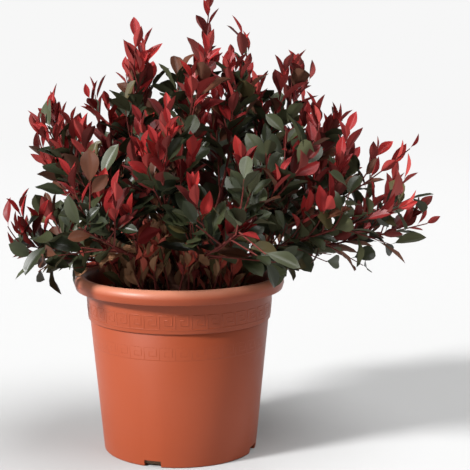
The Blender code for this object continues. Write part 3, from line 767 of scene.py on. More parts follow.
class Plant:
    """Grows the limbs, the twigs and the leaves, and keeps them as they are made."""

    def __init__(self, settings):
        self.settings = settings
        self.wood = []
        self.leaders = []
        self.twigs = []
        self.leaves = {tint: [] for tint in TINTS}
        for index in range(len(STEMS)):
            stem, rooted = grow_stem(index)
            self.wood.append(rooted)
            for level in range(LEVELS):
                bough, leader = grow_bough(index, level, stem)
                self.wood.append(bough)
                self.leaders.append(leader)
        self.paths = [rows(leader.points[::PATH_STEP]) for leader in self.leaders]
        for own in range(len(self.leaders)):
            self.grow_mass(own)
        self.grow_mouth()
        self.grow_basal()

    def in_own_space(self, points, own, reach):
        """True where points are in the crown and about nearest to their own leader."""
        if not within_crown(points, reach) or not clear_of_pot(points):
            return False
        nearest = path_distance(points, self.paths[own]) - MASS_OVERLAP
        for index, path in enumerate(self.paths):
            if index != own and np.any(path_distance(points, path) < nearest):
                return False
        return True

    def add_twig(self, points, radii, leaf_rises=LEAF_RISES):
        """A bare twig along some points."""
        self.twigs.append(Limb(points, radii, leaf_rises))
        return self.twigs[-1]

    def grow_twig(self, own, carrier, share, around, length, reach, flat=False):
        """A twig that leaves its carrier and curls upwards, or None where there is no room."""
        point, ahead = carrier.at(share)
        spread = SHOOT_SPREADS[own % LEVELS]
        rise = FLAT_RISE if flat else SHOOT_RISE
        curl = UP * (0.0 if flat else SHOOT_CURL)
        for turned_on in range(SHOOT_TRIES):
            heading = side_direction(ahead, around + SHOOT_TURN * turned_on, spread, rise)
            size = length * (1.0 - SHOOT_SHRINK * turned_on)
            end = point + (heading + curl).normalized() * size
            points = bent_path(point, point + heading * size * 0.5, end)
            if self.in_own_space(rows(points[len(points) // 3:]), own, reach):
                return self.add_twig(points, SHOOT_RADII, FLAT_LEAF_RISES if flat else LEAF_RISES)
        return None

    def add_leaf(self, draw, limb, share, around, age, tints, reach):
        """One leaf on a limb, if there is room: its age, from new 0 to old 1, sets its form."""
        point, ahead = limb.at(share)
        # In the pot's mouth the leaves take paler tints, palest low down: painted fill light in its shade.
        if point.z < MOUTH_TOP and point.xy.length < COLLAR_TOP_RADIUS:
            tints = DEEP if point.z < DEEP_TOP else SHADED
        loose = draw.uniform(-LEAF_LOOSENESS, LEAF_LOOSENESS)
        spread = between(LEAF_SPREADS, age) + loose
        heading = side_direction(ahead, around + loose, spread, between(limb.leaf_rises, age))
        full_grown = min(1.0, LEAF_GROWTH[0] * age) ** LEAF_GROWTH[1]
        length = between(LEAF_LENGTHS, full_grown) * draw.uniform(*LENGTH_VARIETY) * self.settings.size
        if tints in (SHADED, DEEP):
            length *= SHADED_SIZE
        blade = rows(point + heading * length * part for part in LEAF_PROBES)
        if not within_crown(blade, reach) or not clear_of_pot(blade):
            return False
        out, up = LEAF_FACING
        facing = ((point - CROWN_FOOT).normalized() * out + UP * up) * age + ahead * (1.0 - age)
        level = facing.cross(heading)
        if level.length < 0.1:
            level = heading.orthogonal()
        level = Matrix.Rotation(math.radians(draw.gauss(0.0, LEAF_TILT)), 3, heading) @ level.normalized()
        arch = math.radians(between(LEAF_ARCHES, age) * draw.uniform(*ARCH_VARIETY)) + LEAST_ARCH
        fold = math.radians(between(LEAF_FOLDS, age) * draw.uniform(*FOLD_VARIETY))
        tint = draw.choices(list(tints), list(tints.values()))[0]
        shape = (length, length * between(LEAF_HALF_WIDTHS, age) * draw.uniform(*WIDTH_VARIETY), fold)
        bends = (arch, draw.gauss(0.0, LEAF_TWIST), draw.uniform(*LEAF_WAVES) * between(LEAF_WAVINESS, age))
        self.leaves[tint].append((tuple(point), tuple(heading), tuple(level), shape, bends))
        return True

    def dress(self, draw, limb, first, spacing, kind, reach=1.0, oldest=1.0):
        """Leaves in a spiral along a limb, old at its foot and new at its tip; it ends at its last leaf."""
        count = max(FEWEST_LEAVES, round(limb.length() * (1.0 - first) / spacing))
        phase = draw.uniform(0.0, 360.0)
        foot_age, fall, least, stages = SHOOT_KINDS[kind]
        reached = 0.0
        for index in range(count):
            newness = index / (count - 1)
            share = first + (1.0 - first) * (1.0 - (1.0 - newness) ** CROWDING)
            age = max(least, oldest * (foot_age - newness * fall))
            tints = next(tints for past, tints in stages if age > past)
            if self.add_leaf(draw, limb, share, phase + GOLDEN_ANGLE * index, age, tints, reach):
                reached = share
        limb.cut(reached)

    def grow_mass(self, own):
        """The shoots, the side twigs and the leaves of one leader."""
        leader = self.leaders[own]
        draw = random.Random("foliage %d" % own)
        stem, level = divmod(own, LEVELS)
        vigour = STEMS[stem][1][level][1]
        tip = leader.points[-1]
        aside, above = [(place - start) / run for place, start, run
                        in zip((tip.x, tip.z), LEAF_LIMIT_START, LEAF_LIMIT_RUN)]
        limit = between(LEAF_LIMITS, min(max(aside, above, 0.0), 1.0))
        leafy = min(limit, vigour + LEAF_REACH)
        phase = draw.uniform(0.0, 360.0)
        spacing = self.settings.spacing
        redness = between(self.settings.flush, level / (LEVELS - 1))
        redness += SIDE_FLUSHES[tip.x > 0.0] * abs(tip.x)
        bronzed = tip.x < BRONZED_SIDE and level < LEVELS - 1
        count = SHOOT_COUNTS[level]
        for index in range(count):
            share = between(SHOOT_PLACES, index / (count - 1))
            length = between(SHOOT_LENGTHS, share) * draw.uniform(*SHOOT_VARIETY)
            reach = min(limit, draw.uniform(*SHOOT_REACHES) * vigour)
            flat = level == 0 and index % FLAT_SHOOTS == 1
            twig = self.grow_twig(own, leader, share, phase + GOLDEN_ANGLE * index, length, reach, flat)
            if twig is None:
                continue
            depth = 1.0 - crown_share(rows(twig.points[-1:]))[0]
            flushed = redness * between((1.0, FLUSH_INSIDE), min(1.0, depth / FLUSH_DEPTH))
            kind = "flushed" if draw.random() < flushed and not flat else "green"
            if kind == "flushed" and bronzed and draw.random() < BRONZED_SHARE:
                kind = "bronzed"
            apart = spacing * (GREEN_SPACING if kind == "green" else 1.0)
            oldest = between(OLDEST_LEAVES, share) if kind == "flushed" else 1.0
            self.dress(draw, twig, SHOOT_FIRST_LEAF, apart, kind, leafy, oldest)
            if index < SIDE_TWIGS:
                around = draw.uniform(0.0, 360.0)
                side = self.grow_twig(own, twig, SIDE_TWIG_PLACE, around, SIDE_TWIG_LENGTH, reach)
                if side is not None:
                    self.dress(draw, side, SIDE_TWIG_FIRST_LEAF, spacing, kind, leafy)
        kind = "flushed" if draw.random() < redness else "green"
        self.dress(draw, leader, LEADER_FIRST_LEAF, spacing * LEADER_SPACING, kind, leafy)

    def dress_shaded(self, draw, points, radii, leaves):
        """A twig with shaded leaves, of which it is given where the first sits and how close they are."""
        first, closeness = leaves
        twig = self.add_twig(points, radii)
        self.dress(draw, twig, first, self.settings.spacing * closeness, "shaded")

    def grow_basal(self):
        """Young shoots that come up through the compost round the stool."""
        draw = random.Random("basal")
        for index in range(BASAL_SHOOTS):
            away = unit(GOLDEN_ANGLE * index, 0.0)
            radius = between(BASAL_RADII, math.sqrt(index / BASAL_SHOOTS))
            foot = Vector((0.0, 0.0, SOIL_TOP - BASAL_SINK)) + away * radius
            length = draw.uniform(*BASAL_LENGTHS)
            sideways = unit(draw.uniform(0.0, 360.0), 0.0) * BASAL_SIDEWAYS
            leaning = UP + away * BASAL_LEAN * (1.0 - radius / BASAL_UPRIGHT_RADIUS) + sideways
            end = foot + leaning.normalized() * length
            self.dress_shaded(draw, bowed(foot, end, away), BASAL_THICKNESS, BASAL_LEAVES)

    def grow_mouth(self):
        """Short shaded shoots on the limbs' inner parts, in and round the pot's mouth."""
        draw = random.Random("mouth")
        wood, lower = MOUTH_STRETCHES
        inner = [(limb, wood) for limb in self.wood] + [(limb, lower) for limb in self.leaders[::LEVELS]]
        for limb, stretch in inner:
            for index in range(MOUTH_SHOOTS):
                point = limb.at(draw.uniform(*stretch))[0]
                heading = (unit(draw.uniform(0.0, 360.0), 0.0) * draw.uniform(*MOUTH_LEANS) + UP).normalized()
                end = point + heading * draw.uniform(*MOUTH_SHOOT_LENGTHS)
                points = bowed(point, end, unit(draw.uniform(0.0, 360.0), 0.0))
                if clear_of_pot(rows(points[1:])) and end.z <= MOUTH_TOP:
                    self.dress_shaded(draw, points, SHOOT_RADII, MOUTH_LEAVES)


def bark_tree():
    """Tubes along every path of a mesh, as thick as its points say, with a cracked relief."""
    maker, wires = geometry_tree("limb_tubes", Int="Sides", Float="Relief, Grain", Material="Finish")
    ring = maker.node("GeometryNodeCurvePrimitiveCircle", {"Resolution": wires["Sides"], "Radius": 1.0})
    thickness = maker.named("thickness")
    tubes = maker.swept(wires["Geometry"], ring, {"Scale": thickness})
    place = maker.node("GeometryNodeInputPosition")
    grain = {"Vector": place, "Scale": wires["Grain"], "Detail": 4.0, "Roughness": 0.6}
    cracks = maker.node("ShaderNodeTexNoise", grain)
    offset = maker.node("GeometryNodeInputNormal") * ((cracks - 0.5) * wires["Relief"] * thickness)
    tubes = maker.change(tubes, "SetPosition", {"Offset": offset})
    tubes = maker.change(tubes, "SetShadeSmooth", {"Shade Smooth": True})
    return finish_tree(maker, maker.painted(tubes, wires["Finish"]))


def blade_tree():
    """A leaf at every point: a folded, arched blade on its stalk, closed, with two finishes."""
    sizes = "Skew, Fullness, Petiole, Stalk, Thickness, Groove"
    maker, wires = geometry_tree("leaf_blades", Float=sizes, Material="Upper, Lower")
    place = maker.parts(maker.node("GeometryNodeInputPosition"))
    sheet = maker.stored(maker.node("GeometryNodeMeshGrid", BLADE_GRID), "along", place[0] + 0.5)
    drawn = place[1] * maker.maths("ABSOLUTE", place[1]) ** MIDRIB_DRAW
    sheet = maker.stored(sheet, "across", drawn)
    upper = maker.painted(maker.stored(sheet, "side", 1.0), wires["Upper"])
    lower = maker.node("GeometryNodeFlipFaces", {"Mesh": maker.stored(sheet, "side", -1.0)})
    lower = maker.painted(lower, wires["Lower"])
    blade = maker.node("GeometryNodeJoinGeometry", {"Geometry": [lower, upper]})
    leaves = maker.node("GeometryNodeInstanceOnPoints", {"Points": wires["Geometry"], "Instance": blade})
    leaves = maker.change(leaves, "RealizeInstances")
    along, across, side = [maker.named(name) for name in ("along", "across", "side")]
    root, ahead, level, shape, bends = [maker.named(name, "FLOAT_VECTOR") for name in LEAF_ATTRIBUTES]
    length, half_width, fold = maker.parts(shape)
    arch, twist, wave = maker.parts(bends)
    reach = maker.positive((along - wires["Petiole"]) / (1.0 - wires["Petiole"]))
    swell = maker.maths("SINE", (reach ** wires["Skew"]) * math.pi)
    outline = maker.positive(swell) ** wires["Fullness"]
    stalk = maker.maths("MINIMUM", along * STALK_RISE, 1.0) * (1.0 - along)
    half = half_width * outline + wires["Stalk"] * stalk
    out = maker.maths("ABSOLUTE", across)
    rate, phases = RIPPLE
    ripple = maker.maths("SINE", along * rate + wave * phases) * wave * half * out * out
    groove = maker.positive(1.0 - out * GROOVE_FALL) * wires["Groove"] * outline
    fold_cosine, fold_sine = maker.circle(fold)
    lift = half * out * fold_sine + ripple - groove
    width = half * across * fold_cosine
    skin = side * wires["Thickness"] * stalk * (1.0 - out * out)
    normal = maker.maths("CROSS_PRODUCT", ahead, level)
    bend_cosine, bend_sine = maker.circle(arch * along)
    forwards = length * bend_sine / arch
    downwards = length * (1.0 - bend_cosine) / arch
    upright = normal * bend_cosine + ahead * bend_sine
    curl_cosine, curl_sine = maker.circle(twist * along)
    rolled = level * curl_cosine + upright * curl_sine
    raised = upright * curl_cosine - level * curl_sine
    position = root + ahead * forwards - normal * downwards + rolled * width + raised * (lift + skin)
    leaves = maker.change(leaves, "SetPosition", {"Position": position})
    leaves = maker.change(leaves, "MergeByDistance", {"Distance": MERGE_DISTANCE})
    leaves = maker.change(leaves, "SetShadeSmooth", {"Shade Smooth": True})
    rim = {"Selection": maker.node("GeometryNodeInputMeshEdgeAngle") > RIM_ANGLE, "Shade Smooth": False}
    return finish_tree(maker, maker.change(leaves, "SetShadeSmooth", rim, {"domain": "EDGE"}))


def meander_tree():
    """A raised key pattern: one key's line, swept, repeated in a row and wrapped round the wall."""
    sizes = "Pitch, Line Width, Line Depth, Foot, Foot Radius, Slope"
    maker, wires = geometry_tree("meander_band", Int="Count", Float=sizes, Material="Finish")
    ring = maker.node("GeometryNodeCurvePrimitiveCircle", {"Resolution": 8, "Radius": 0.5})
    flat = maker.vector(wires["Line Depth"], wires["Line Width"], 1.0)
    key = maker.swept(wires["Geometry"], maker.change(ring, "Transform", {"Scale": flat}))
    places = {"Count": wires["Count"], "Offset": maker.vector(wires["Pitch"], 0.0, 0.0)}
    row = maker.node("GeometryNodeMeshLine", places, {"mode": "OFFSET"})
    band = maker.node("GeometryNodeInstanceOnPoints", {"Points": row, "Instance": key})
    band = maker.change(band, "RealizeInstances")
    run, out, up = maker.parts(maker.node("GeometryNodeInputPosition"))
    cosine, sine = maker.circle(run * (2.0 * math.pi) / (wires["Pitch"] * wires["Count"]))
    radius = wires["Foot Radius"] + up * wires["Slope"] - out
    wrapped = maker.vector(sine * radius, cosine * radius * -1.0, up + wires["Foot"])
    band = maker.change(band, "SetPosition", {"Position": wrapped})
    return finish_tree(maker, maker.painted(band, wires["Finish"]))


def chip_tree():
    """Bark chips strewn over the faces of a mesh that look up."""
    sizes = "Density, Smallest, Largest"
    maker, wires = geometry_tree("compost_chips", Float=sizes, Int="Seed", Material="Dark, Pale")
    upward = maker.parts(maker.node("GeometryNodeInputNormal"))[2] > 0.5
    spread = {"Mesh": wires["Geometry"], "Selection": upward,
              "Density": wires["Density"], "Seed": wires["Seed"]}
    size = maker.varied(wires["Smallest"], wires["Largest"], 5)
    strewn = {
        "Points": maker.node("GeometryNodeDistributePointsOnFaces", spread),
        "Instance": maker.node("GeometryNodeMeshIcoSphere", {"Radius": 0.5, "Subdivisions": 1}),
        "Rotation": maker.varied(*CHIP_TURNS, 3, "FLOAT_VECTOR"),
        "Scale": maker.varied(*CHIP_SHAPES, 7, "FLOAT_VECTOR") * size,
    }
    chips = maker.node("GeometryNodeInstanceOnPoints", strewn)
    chips = maker.stored(chips, "shade", maker.varied(0.0, 1.0, 9), "INSTANCE")
    chips = maker.change(chips, "RealizeInstances")
    chips = maker.painted(chips, wires["Dark"])
    return finish_tree(maker, maker.painted(chips, wires["Pale"], maker.named("shade") > DARK_CHIPS))


def new_material(name, colour, roughness, coat, shine, grain=None):
    """A material with plain values and perhaps a grain, with the maker for its nodes and its shader."""
    material = bpy.data.materials.new(name)
    material.use_nodes = True
    shader = material.node_tree.nodes["Principled BSDF"]
    maker = Maker(material.node_tree)
    maker.fill(shader, {"Base Color": (*colour, 1.0), "Roughness": roughness, "Specular IOR Level": shine,
                        "Coat Weight": coat, "Coat Roughness": COAT_ROUGHNESS})
    if grain:
        *noise, strength, depth = grain
        relief = {"Height": object_noise(maker, *noise), "Strength": strength, "Distance": depth}
        maker.fill(shader, {"Normal": maker.node("ShaderNodeBump", relief)})
    return material, maker, shader


def own_place(maker):
    """The piece's own coordinates."""
    return maker.node("ShaderNodeTexCoord", output="Object")


def object_noise(maker, scale, detail, stretch=EVEN):
    """Noise from 0 to 1 on the piece's own coordinates."""
    place = maker.node("ShaderNodeMapping", {"Vector": own_place(maker), "Scale": stretch})
    return maker.node("ShaderNodeTexNoise", {"Vector": place, "Scale": scale, "Detail": detail})


def colour_mix(maker, share, first, second):
    """A colour between two, each a plain one or a wire."""
    ends = [end if isinstance(end, Wire) else (*end, 1.0) for end in (first, second)]
    return maker.node("ShaderNodeMix", {"Factor": share, "A": ends[0], "B": ends[1]}, {"data_type": "RGBA"})


def plastic(settings):
    """Moulded terracotta-coloured plastic: satin, with a faint bloom, a fine grain and a highlight painted
    onto the lip's crest.
    """
    colour = settings.plastic
    smoothest, spread = PLASTIC_ROUGHNESS
    roughness = smoothest + spread / 2.0
    material, maker, shader = new_material("terracotta_plastic", colour, roughness, 0.13, 0.22, PLASTIC_GRAIN)
    paler = tuple(0.90 * part + 0.04 for part in colour)
    bloomed = colour_mix(maker, object_noise(maker, 9.0, 4.0) * BLOOM, colour, paler)
    height = maker.parts(own_place(maker))[2]
    # The lip is paled towards a lighter colour from its widest point up to its crest: a painted highlight.
    crest = maker.positive((height - LIP_WIDEST_Z) / (POT_HEIGHT - LIP_WIDEST_Z))
    maker.fill(shader, {
        "Base Color": colour_mix(maker, crest * PAINTED_CREST_HIGHLIGHT, bloomed, settings.crest_highlight),
        "Roughness": smoothest + object_noise(maker, 60.0, 3.0) * spread,
        "Coat Roughness": PLASTIC_COAT_ROUGHNESS,
    })
    return material


def bark_finish(name, colour, paler, grain):
    """Bark in two browns with fine cracks that run up the limb."""
    material, maker, shader = new_material(name, colour, 0.8, 0.0, 0.2, grain)
    patches = object_noise(maker, grain[0] * 0.4, 4.0)
    pale = tuple(paler * part for part in colour)
    maker.fill(shader, {"Base Color": colour_mix(maker, patches, colour, pale)})
    return material


def leaf_finishes(tint):
    """The leathery upper and lower face of a leaf in one plain tint."""
    upper, lower, roughness, coat, shine = TINTS[tint][:-1]
    return (new_material(tint + "_leaf", upper, roughness, coat, shine)[0],
            new_material(tint + "_leaf_back", lower, roughness + BACK_ROUGHER, 0.0, BACK_SHINE)[0])


def finished(item, finish):
    """A smooth piece in one finish."""
    item.data.materials.append(finish)
    item.data.shade_smooth()
    return item


def turned(name, profile, segments):
    """A solid of revolution from (radius, height) points that run down its outer side."""
    item = placed(name, line_mesh(name, [[(radius, 0.0, height) for radius, height in profile]]))
    screw = item.modifiers.new("turn", "SCREW")
    screw.steps = segments
    screw.render_steps = segments
    screw.use_merge_vertices = True
    screw.merge_threshold = MERGE_DISTANCE
    return item


def arc(centre, radii, start, end, count):
    """Points of an elliptic arc between two angles in degrees."""
    points = []
    for index in range(count):
        angle = math.radians(between((start, end), index / (count - 1)))
        points.append((centre[0] + radii[0] * math.cos(angle), centre[1] + radii[1] * math.sin(angle)))
    return points


def wall_radius(height):
    """Outer radius of the pot's wall under the lip at a height."""
    if height <= STEP_HEIGHT:
        return between((BASE_RADIUS, BODY_TOP_RADIUS), height / STEP_HEIGHT)
    share = (height - STEP_HEIGHT) / (LIP_FOOT_Z - STEP_HEIGHT)
    return between((COLLAR_LOW_RADIUS, COLLAR_TOP_RADIUS), share)


def pot_section():
    """The pot's section from the inside of the floor over the rolled lip to its underside."""
    return [*INNER_WALL, *arc(*INNER_CREST), *arc(*LIP_ROLL), *arc(*LIP_EDGE), *LIP_HOLLOW,
            *arc(*COLLAR_EDGE), *STEP_GROOVE, *arc(*FOOT_EDGE), (0.0, 0.0)]


def slot_cutter(azimuth):
    """The cutter of one drain slot, a block across the corner of wall and floor."""
    body = bmesh.new()
    bmesh.ops.create_cube(body, size=1.0)
    body.transform(Matrix.Diagonal((*SLOT_SIZE, 1.0)))
    body.transform(Matrix.Translation((BASE_RADIUS, 0.0, 0.0)))
    body.transform(Matrix.Rotation(math.radians(azimuth), 4, "Z"))
    return from_body("slot_cutter", body)


def make_pot(settings, finish):
    """The pot with its rolled lip, its collar and the drain slots at its foot."""
    pot = turned("pot_shell", pot_section(), settings.segments)
    cutters = [slot_cutter(SLOT_FIRST_AZIMUTH + 360.0 * index / SLOT_COUNT) for index in range(SLOT_COUNT)]
    for cutter in cutters:
        cut = pot.modifiers.new("slot", "BOOLEAN")
        cut.operation = "DIFFERENCE"
        cut.object = cutter
    made_plain(pot)
    for cutter in cutters:
        bpy.data.objects.remove(cutter, do_unlink=True)
    finished(pot, finish)
    pot.data.set_sharp_from_angle(angle=math.radians(SHARP_ANGLE))
    return pot


def make_meander(name, settings, finish):
    """One band of raised keys round the pot."""
    foot, height, count = MEANDERS[name]
    step = height / KEY_STEPS
    corners = [Vector((across * step, 0.0, up * step)) for across, up in KEY_LINE]
    points = corners[:1]
    for before, after in zip(corners, corners[1:]):
        sections = max(1, round((after - before).length / step))
        points += [before.lerp(after, (index + 1) / sections) for index in range(sections)]
    slope = (wall_radius(foot + height) - wall_radius(foot)) / height
    return grown(name, line_mesh(name, [points]), meander_tree(), {
        "Line Width": settings.line_width, "Line Depth": 2.0 * settings.line_height, "Finish": finish,
        "Count": count, "Pitch": height, "Foot": foot, "Foot Radius": wall_radius(foot), "Slope": slope,
    })


def colour_property(name, description, default):
    """A colour that a user would change."""
    return FloatVectorProperty(name=name, description=description, default=default,
                               subtype="COLOR", min=0.0, max=1.0)


def number_property(name, description, default, unit="NONE"):
    """A number that a user would change."""
    return FloatProperty(name=name, description=description, default=default, unit=unit)


class PotSettings(bpy.types.PropertyGroup):
    """Sizes and colour of the pot."""

    segments: IntProperty(name="Segments", description="Faces round the pot", default=144, min=24)
    line_width: number_property("Key line width", "Width of the raised meander line", 0.0020, "LENGTH")
    line_height: number_property("Key line height", "How far the meander stands out", 0.00018, "LENGTH")
    plastic: colour_property("Plastic", "Colour of the moulded plastic", (0.236, 0.038, 0.0080))
    # The colour of the highlight that is painted onto the lip's crest.
    crest_highlight: colour_property("Painted lip highlight", "Colour of the highlight painted on the lip's crest",
                            (0.620, 0.290, 0.190))


class CompostSettings(bpy.types.PropertyGroup):
    """Sizes and colours of the compost."""

    density: number_property("Chips", "Chips on each square metre", 42000.0)
    smallest: number_property("Smallest chip", "Length of the smallest chip", 0.0025, "LENGTH")
    largest: number_property("Largest chip", "Length of the largest chip", 0.0085, "LENGTH")
    colour: colour_property("Compost", "Colour of the damp compost", (0.130, 0.078, 0.050))
    chip: colour_property("Pale chips", "Colour of the paler chips", (0.200, 0.110, 0.065))


class WoodSettings(bpy.types.PropertyGroup):
    """Relief and colours of the bark."""

    relief: number_property("Relief", "Depth of the bark's relief as a share of the limb's radius", 0.35)
    bark: colour_property("Bark", "Colour of the old bark", (0.120, 0.054, 0.036))
    twig: colour_property("Twigs", "Colour of the young twigs", (0.076, 0.013, 0.010))


class LeafSettings(bpy.types.PropertyGroup):
    """Size and number of the leaves."""

    size: number_property("Leaf size", "Scale of every leaf", 1.0)
    spacing: number_property("Leaf spacing", "Distance between leaves along a shoot", 0.0083, "LENGTH")
    thickness: number_property("Thickness", "Half the thickness of a blade at its midrib", 0.00022, "LENGTH")
    flush: FloatVectorProperty(name="Red shoots", default=(0.50, 1.22), size=2,
                               description="Share of shoots with red new leaves, low and high")


class StageSettings(bpy.types.PropertyGroup):
    """Floor, camera and lights."""

    floor: colour_property("Floor", "Colour of the floor", (0.360, 0.360, 0.360))
    lens: number_property("Lens", "Focal length on a 36 mm sensor, in millimetres", 92.6)
    camera: FloatVectorProperty(name="Camera", description="Place of the camera",
                                default=(0.0743, -1.597, 0.511), subtype="TRANSLATION")
    tilt: number_property("Tilt", "How far the camera looks down", math.radians(7.95), "ROTATION")
    key: number_property("Key light", "Strength of the key light from the left", 6.9)
    top: number_property("Top light", "Strength of the light from above", 4.6)
    fill: number_property("Fill light", "Strength of the low light from the front", 0.6)
    sky: number_property("Sky", "Strength of the even surroundings overhead", 0.10)
    horizon: number_property("Horizon", "Strength of the surroundings at the horizon", 0.93)


class PHOTINIA_OT_pot(bpy.types.Operator):
    """Makes the moulded pot and its two meander bands"""

    bl_idname = "photinia.pot"
    bl_label = "Make the pot"

    def execute(self, context):
        settings = context.scene.photinia_pot
        finish = plastic(settings)
        rides(make_pot(settings, finish), ["pot"])
        for name in MEANDERS:
            rides(make_meander(name, settings, finish))
        return {"FINISHED"}


def soil_section():
    """The compost's section: the lumpy dome of its top, its side and its foot."""
    edge = wall_radius(SOIL_TOP) - WALL - SOIL_GAP
    section = []
    for index in range(SOIL_RINGS + 1):
        radius = edge * index / SOIL_RINGS
        lump = sum(height * math.sin(radius * rate) for height, rate in SOIL_LUMPS)
        section.append((radius, SOIL_TOP - SOIL_DOME * (radius / edge) ** 2 + lump))
    return section + [(BODY_TOP_RADIUS - WALL - SOIL_GAP, STEP_HEIGHT),
                      (BASE_RADIUS - WALL - SOIL_GAP, SOIL_FOOT), (0.0, SOIL_FOOT)]


class PHOTINIA_OT_compost(bpy.types.Operator):
    """Makes the compost in the pot and the chips strewn on it"""

    bl_idname = "photinia.compost"
    bl_label = "Make the compost"

    def execute(self, context):
        settings = context.scene.photinia_compost
        dark = new_material("compost", settings.colour, 0.95, 0.0, 0.05, COMPOST_GRAIN)[0]
        pale = new_material("compost_chip", settings.chip, 0.9, 0.0, 0.05, CHIP_GRAIN)[0]
        soil = finished(made_plain(turned("compost_body", soil_section(), SOIL_SEGMENTS)), dark)
        chips = grown("compost_chips", soil.data.copy(), chip_tree(), {
            "Density": settings.density, "Smallest": settings.smallest, "Largest": settings.largest,
            "Seed": 11, "Dark": dark, "Pale": pale,
        })
        rides(soil, ["soil"])
        rides(chips)
        return {"FINISHED"}


def make_stool(finish):
    """The stool: flared roots, a lobed neck and a rounded head, with a rough relief."""
    section = [(STOOL_NECK_RADIUS * across, SOIL_TOP + STOOL_HEIGHT * up) for across, up in STOOL_HEAD]
    section += [(STOOL_FLARE_RADIUS * across, SOIL_TOP + up) for across, up in STOOL_FOOT]
    stool = turned("stool", section, STOOL_SEGMENTS)
    smooth = stool.modifiers.new("smooth", "SUBSURF")
    smooth.levels = 2
    smooth.render_levels = 2
    made_plain(stool)
    draw = random.Random("stool")
    waves = [(draw.uniform(*STOOL_RATES), draw.uniform(*STOOL_PHASES), draw.randint(*STOOL_WAVE_LOBES))
             for index in range(STOOL_WAVES)]
    for vertex in stool.data.vertices:
        height = (vertex.co.z - SOIL_TOP) / STOOL_HEIGHT
        around = math.atan2(vertex.co.y, vertex.co.x)
        lobe = STOOL_LOBE_DEPTH * (1.0 - height) ** 2 * math.cos(STOOL_LOBES * around)
        relief = sum(math.sin(rate * vertex.co.z + phase + lobes * around) for rate, phase, lobes in waves)
        girth = 1.0 + lobe + STOOL_RELIEF * relief
        vertex.co.x = vertex.co.x * girth + STOOL_LEAN * height * height
        vertex.co.y = vertex.co.y * girth
    return finished(stool, finish)


def make_tubes(name, limbs, tree, shape, relief, finish):
    """The tubes of some limbs, with their sides, their share of the relief and their cracks' scale."""
    sides, share, grain = shape
    inputs = {"Sides": sides, "Relief": relief * share, "Grain": grain, "Finish": finish}
    return grown(name, limb_mesh(name, limbs), tree, inputs)


class PHOTINIA_OT_plant(bpy.types.Operator):
    """Grows the bark, the twigs and the leaves on the frame's limbs"""

    bl_idname = "photinia.plant"
    bl_label = "Grow the plant"

    def execute(self, context):
        wood = context.scene.photinia_wood
        leaf = context.scene.photinia_leaf
        plant = Plant(leaf)
        old, young = BARK_PATCHES
        bark = bark_finish("bark", wood.bark, old, BARK_GRAIN)
        young_bark = bark_finish("young_bark", wood.twig, young, YOUNG_BARK_GRAIN)
        tubes = bark_tree()
        limbs = make_tubes("limbs", plant.wood, tubes, LIMB_TUBES, wood.relief, bark)
        rides(joined("bark", [make_stool(bark), limbs]), nodes_named("trunk", "stem_", "bough_"))
        twigs = make_tubes("twigs", plant.leaders + plant.twigs, tubes, TWIG_TUBES, wood.relief, young_bark)
        rides(twigs, nodes_named("foliage_"))
        blades = blade_tree()
        for tint, leaves in plant.leaves.items():
            slot = TINTS[tint][-1]
            upper, lower = leaf_finishes(tint)
            skew, fullness = RED_OUTLINE if slot == "red_foliage" else BROAD_OUTLINE
            piece = grown("leaves_" + tint, leaf_mesh(tint, leaves), blades, {
                "Skew": skew, "Fullness": fullness, "Petiole": PETIOLE_SHARE, "Stalk": PETIOLE_WIDTH,
                "Thickness": leaf.thickness, "Groove": GROOVE_DEPTH, "Upper": upper, "Lower": lower,
            })
            rides(piece, nodes_named("foliage_"))
        return {"FINISHED"}


def make_floor(settings):
    """A round pale floor under the pot, whose far part turns into the horizon's own tone."""
    body = bmesh.new()
    bmesh.ops.create_circle(body, cap_ends=True, segments=96, radius=FLOOR_RADIUS)
    floor = from_body("floor", body)
    material, maker, shader = new_material("floor", settings.floor, 0.9, 0.0, 0.0)
    far = maker.node("ShaderNodeVectorMath", {0: own_place(maker)}, {"operation": "LENGTH"}, "Value")
    near, end = FLOOR_FADE
    fade = maker.maths("MINIMUM", maker.positive((far - near) / (end - near)), 1.0)
    share = fade * fade * (3.0 - fade * 2.0)
    maker.fill(shader, {
        "Base Color": colour_mix(maker, share, settings.floor, BLACK),
        "Emission Color": colour_mix(maker, share, BLACK, WHITE),
        "Emission Strength": settings.horizon,
    })
    floor.data.materials.append(material)
    return floor


def make_sky(settings):
    """Even surroundings: pale at the horizon, where the floor ends, and dim above."""
    world = bpy.data.worlds.new("studio")
    world.use_nodes = True
    maker = Maker(world.node_tree)
    height = maker.parts(maker.node("ShaderNodeTexCoord", output="Generated"))[2]
    share = maker.maths("SMOOTH_MIN", maker.positive((height - HORIZON_TOP) * HORIZON_FALL), 1.0, 0.1)
    strength = settings.horizon + share * (settings.sky - settings.horizon)
    maker.fill(world.node_tree.nodes["Background"], {"Color": (*WHITE, 1.0), "Strength": strength})
    return world


def make_sun(name, place, softness, strength):
    """A soft distant light that shines from a place towards the origin."""
    light = bpy.data.lights.new(name, "SUN")
    light.angle = math.radians(softness)
    light.energy = strength
    item = placed(name, light)
    item.location = place
    item.rotation_euler = Vector(place).to_track_quat("Z", "Y").to_euler()


def make_camera(settings):
    """The camera in front of the plant, which looks down a little."""
    data = bpy.data.cameras.new("camera")
    data.lens = settings.lens
    data.sensor_width = 36.0
    data.clip_start = 0.05
    camera = placed("camera", data)
    camera.location = settings.camera
    camera.rotation_euler = (math.radians(90.0) - settings.tilt, 0.0, 0.0)
    return camera


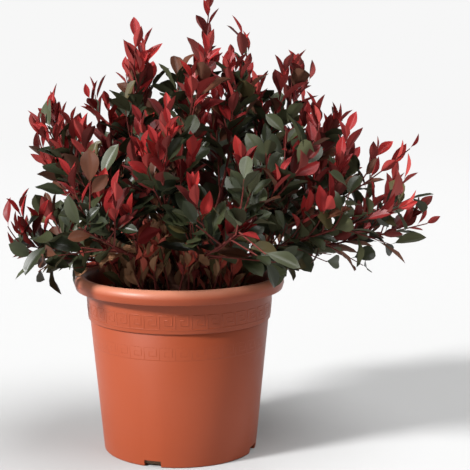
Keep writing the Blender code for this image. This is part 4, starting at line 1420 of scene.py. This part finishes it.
class PHOTINIA_OT_stage(bpy.types.Operator):
    """Sets the floor, the camera and the soft studio light"""

    bl_idname = "photinia.stage"
    bl_label = "Set the stage"

    def execute(self, context):
        settings = context.scene.photinia_stage
        make_floor(settings)
        context.scene.world = make_sky(settings)
        for name, place, softness in LIGHTS:
            make_sun(name, place, softness, getattr(settings, name))
        context.scene.camera = make_camera(settings)
        context.scene.view_settings.view_transform = "Standard"
        return {"FINISHED"}


SETTINGS = {
    "photinia_pot": PotSettings,
    "photinia_compost": CompostSettings,
    "photinia_wood": WoodSettings,
    "photinia_leaf": LeafSettings,
    "photinia_stage": StageSettings,
}
# Each step with the settings that it reads.
STEPS = {
    PHOTINIA_OT_pot: ("photinia_pot",),
    PHOTINIA_OT_compost: ("photinia_compost",),
    PHOTINIA_OT_plant: ("photinia_wood", "photinia_leaf"),
    PHOTINIA_OT_stage: ("photinia_stage",),
}


class PHOTINIA_PT_panel(bpy.types.Panel):
    """The steps and their settings"""

    bl_label = "Potted dwarf photinia"
    bl_idname = "PHOTINIA_PT_panel"
    bl_space_type = "VIEW_3D"
    bl_region_type = "UI"
    bl_category = "Photinia"

    def draw(self, context):
        for step, owners in STEPS.items():
            box = self.layout.box()
            box.operator(step.bl_idname)
            for owner in owners:
                settings = getattr(context.scene, owner)
                for key in settings.__annotations__:
                    box.prop(settings, key)


CLASSES = (*SETTINGS.values(), *STEPS, PHOTINIA_PT_panel)


def register():
    """Registers the classes and gives the scene its settings."""
    for item in CLASSES:
        bpy.utils.register_class(item)
    for owner, settings in SETTINGS.items():
        setattr(bpy.types.Scene, owner, PointerProperty(type=settings))


def unregister():
    """Takes the settings and the classes away again."""
    for owner in SETTINGS:
        delattr(bpy.types.Scene, owner)
    for item in reversed(CLASSES):
        bpy.utils.unregister_class(item)


def main():
    """Makes every piece and the stage."""
    register()
    bpy.ops.photinia.pot()
    bpy.ops.photinia.compost()
    bpy.ops.photinia.plant()
    bpy.ops.photinia.stage()


if __name__ == "__main__":
    main()
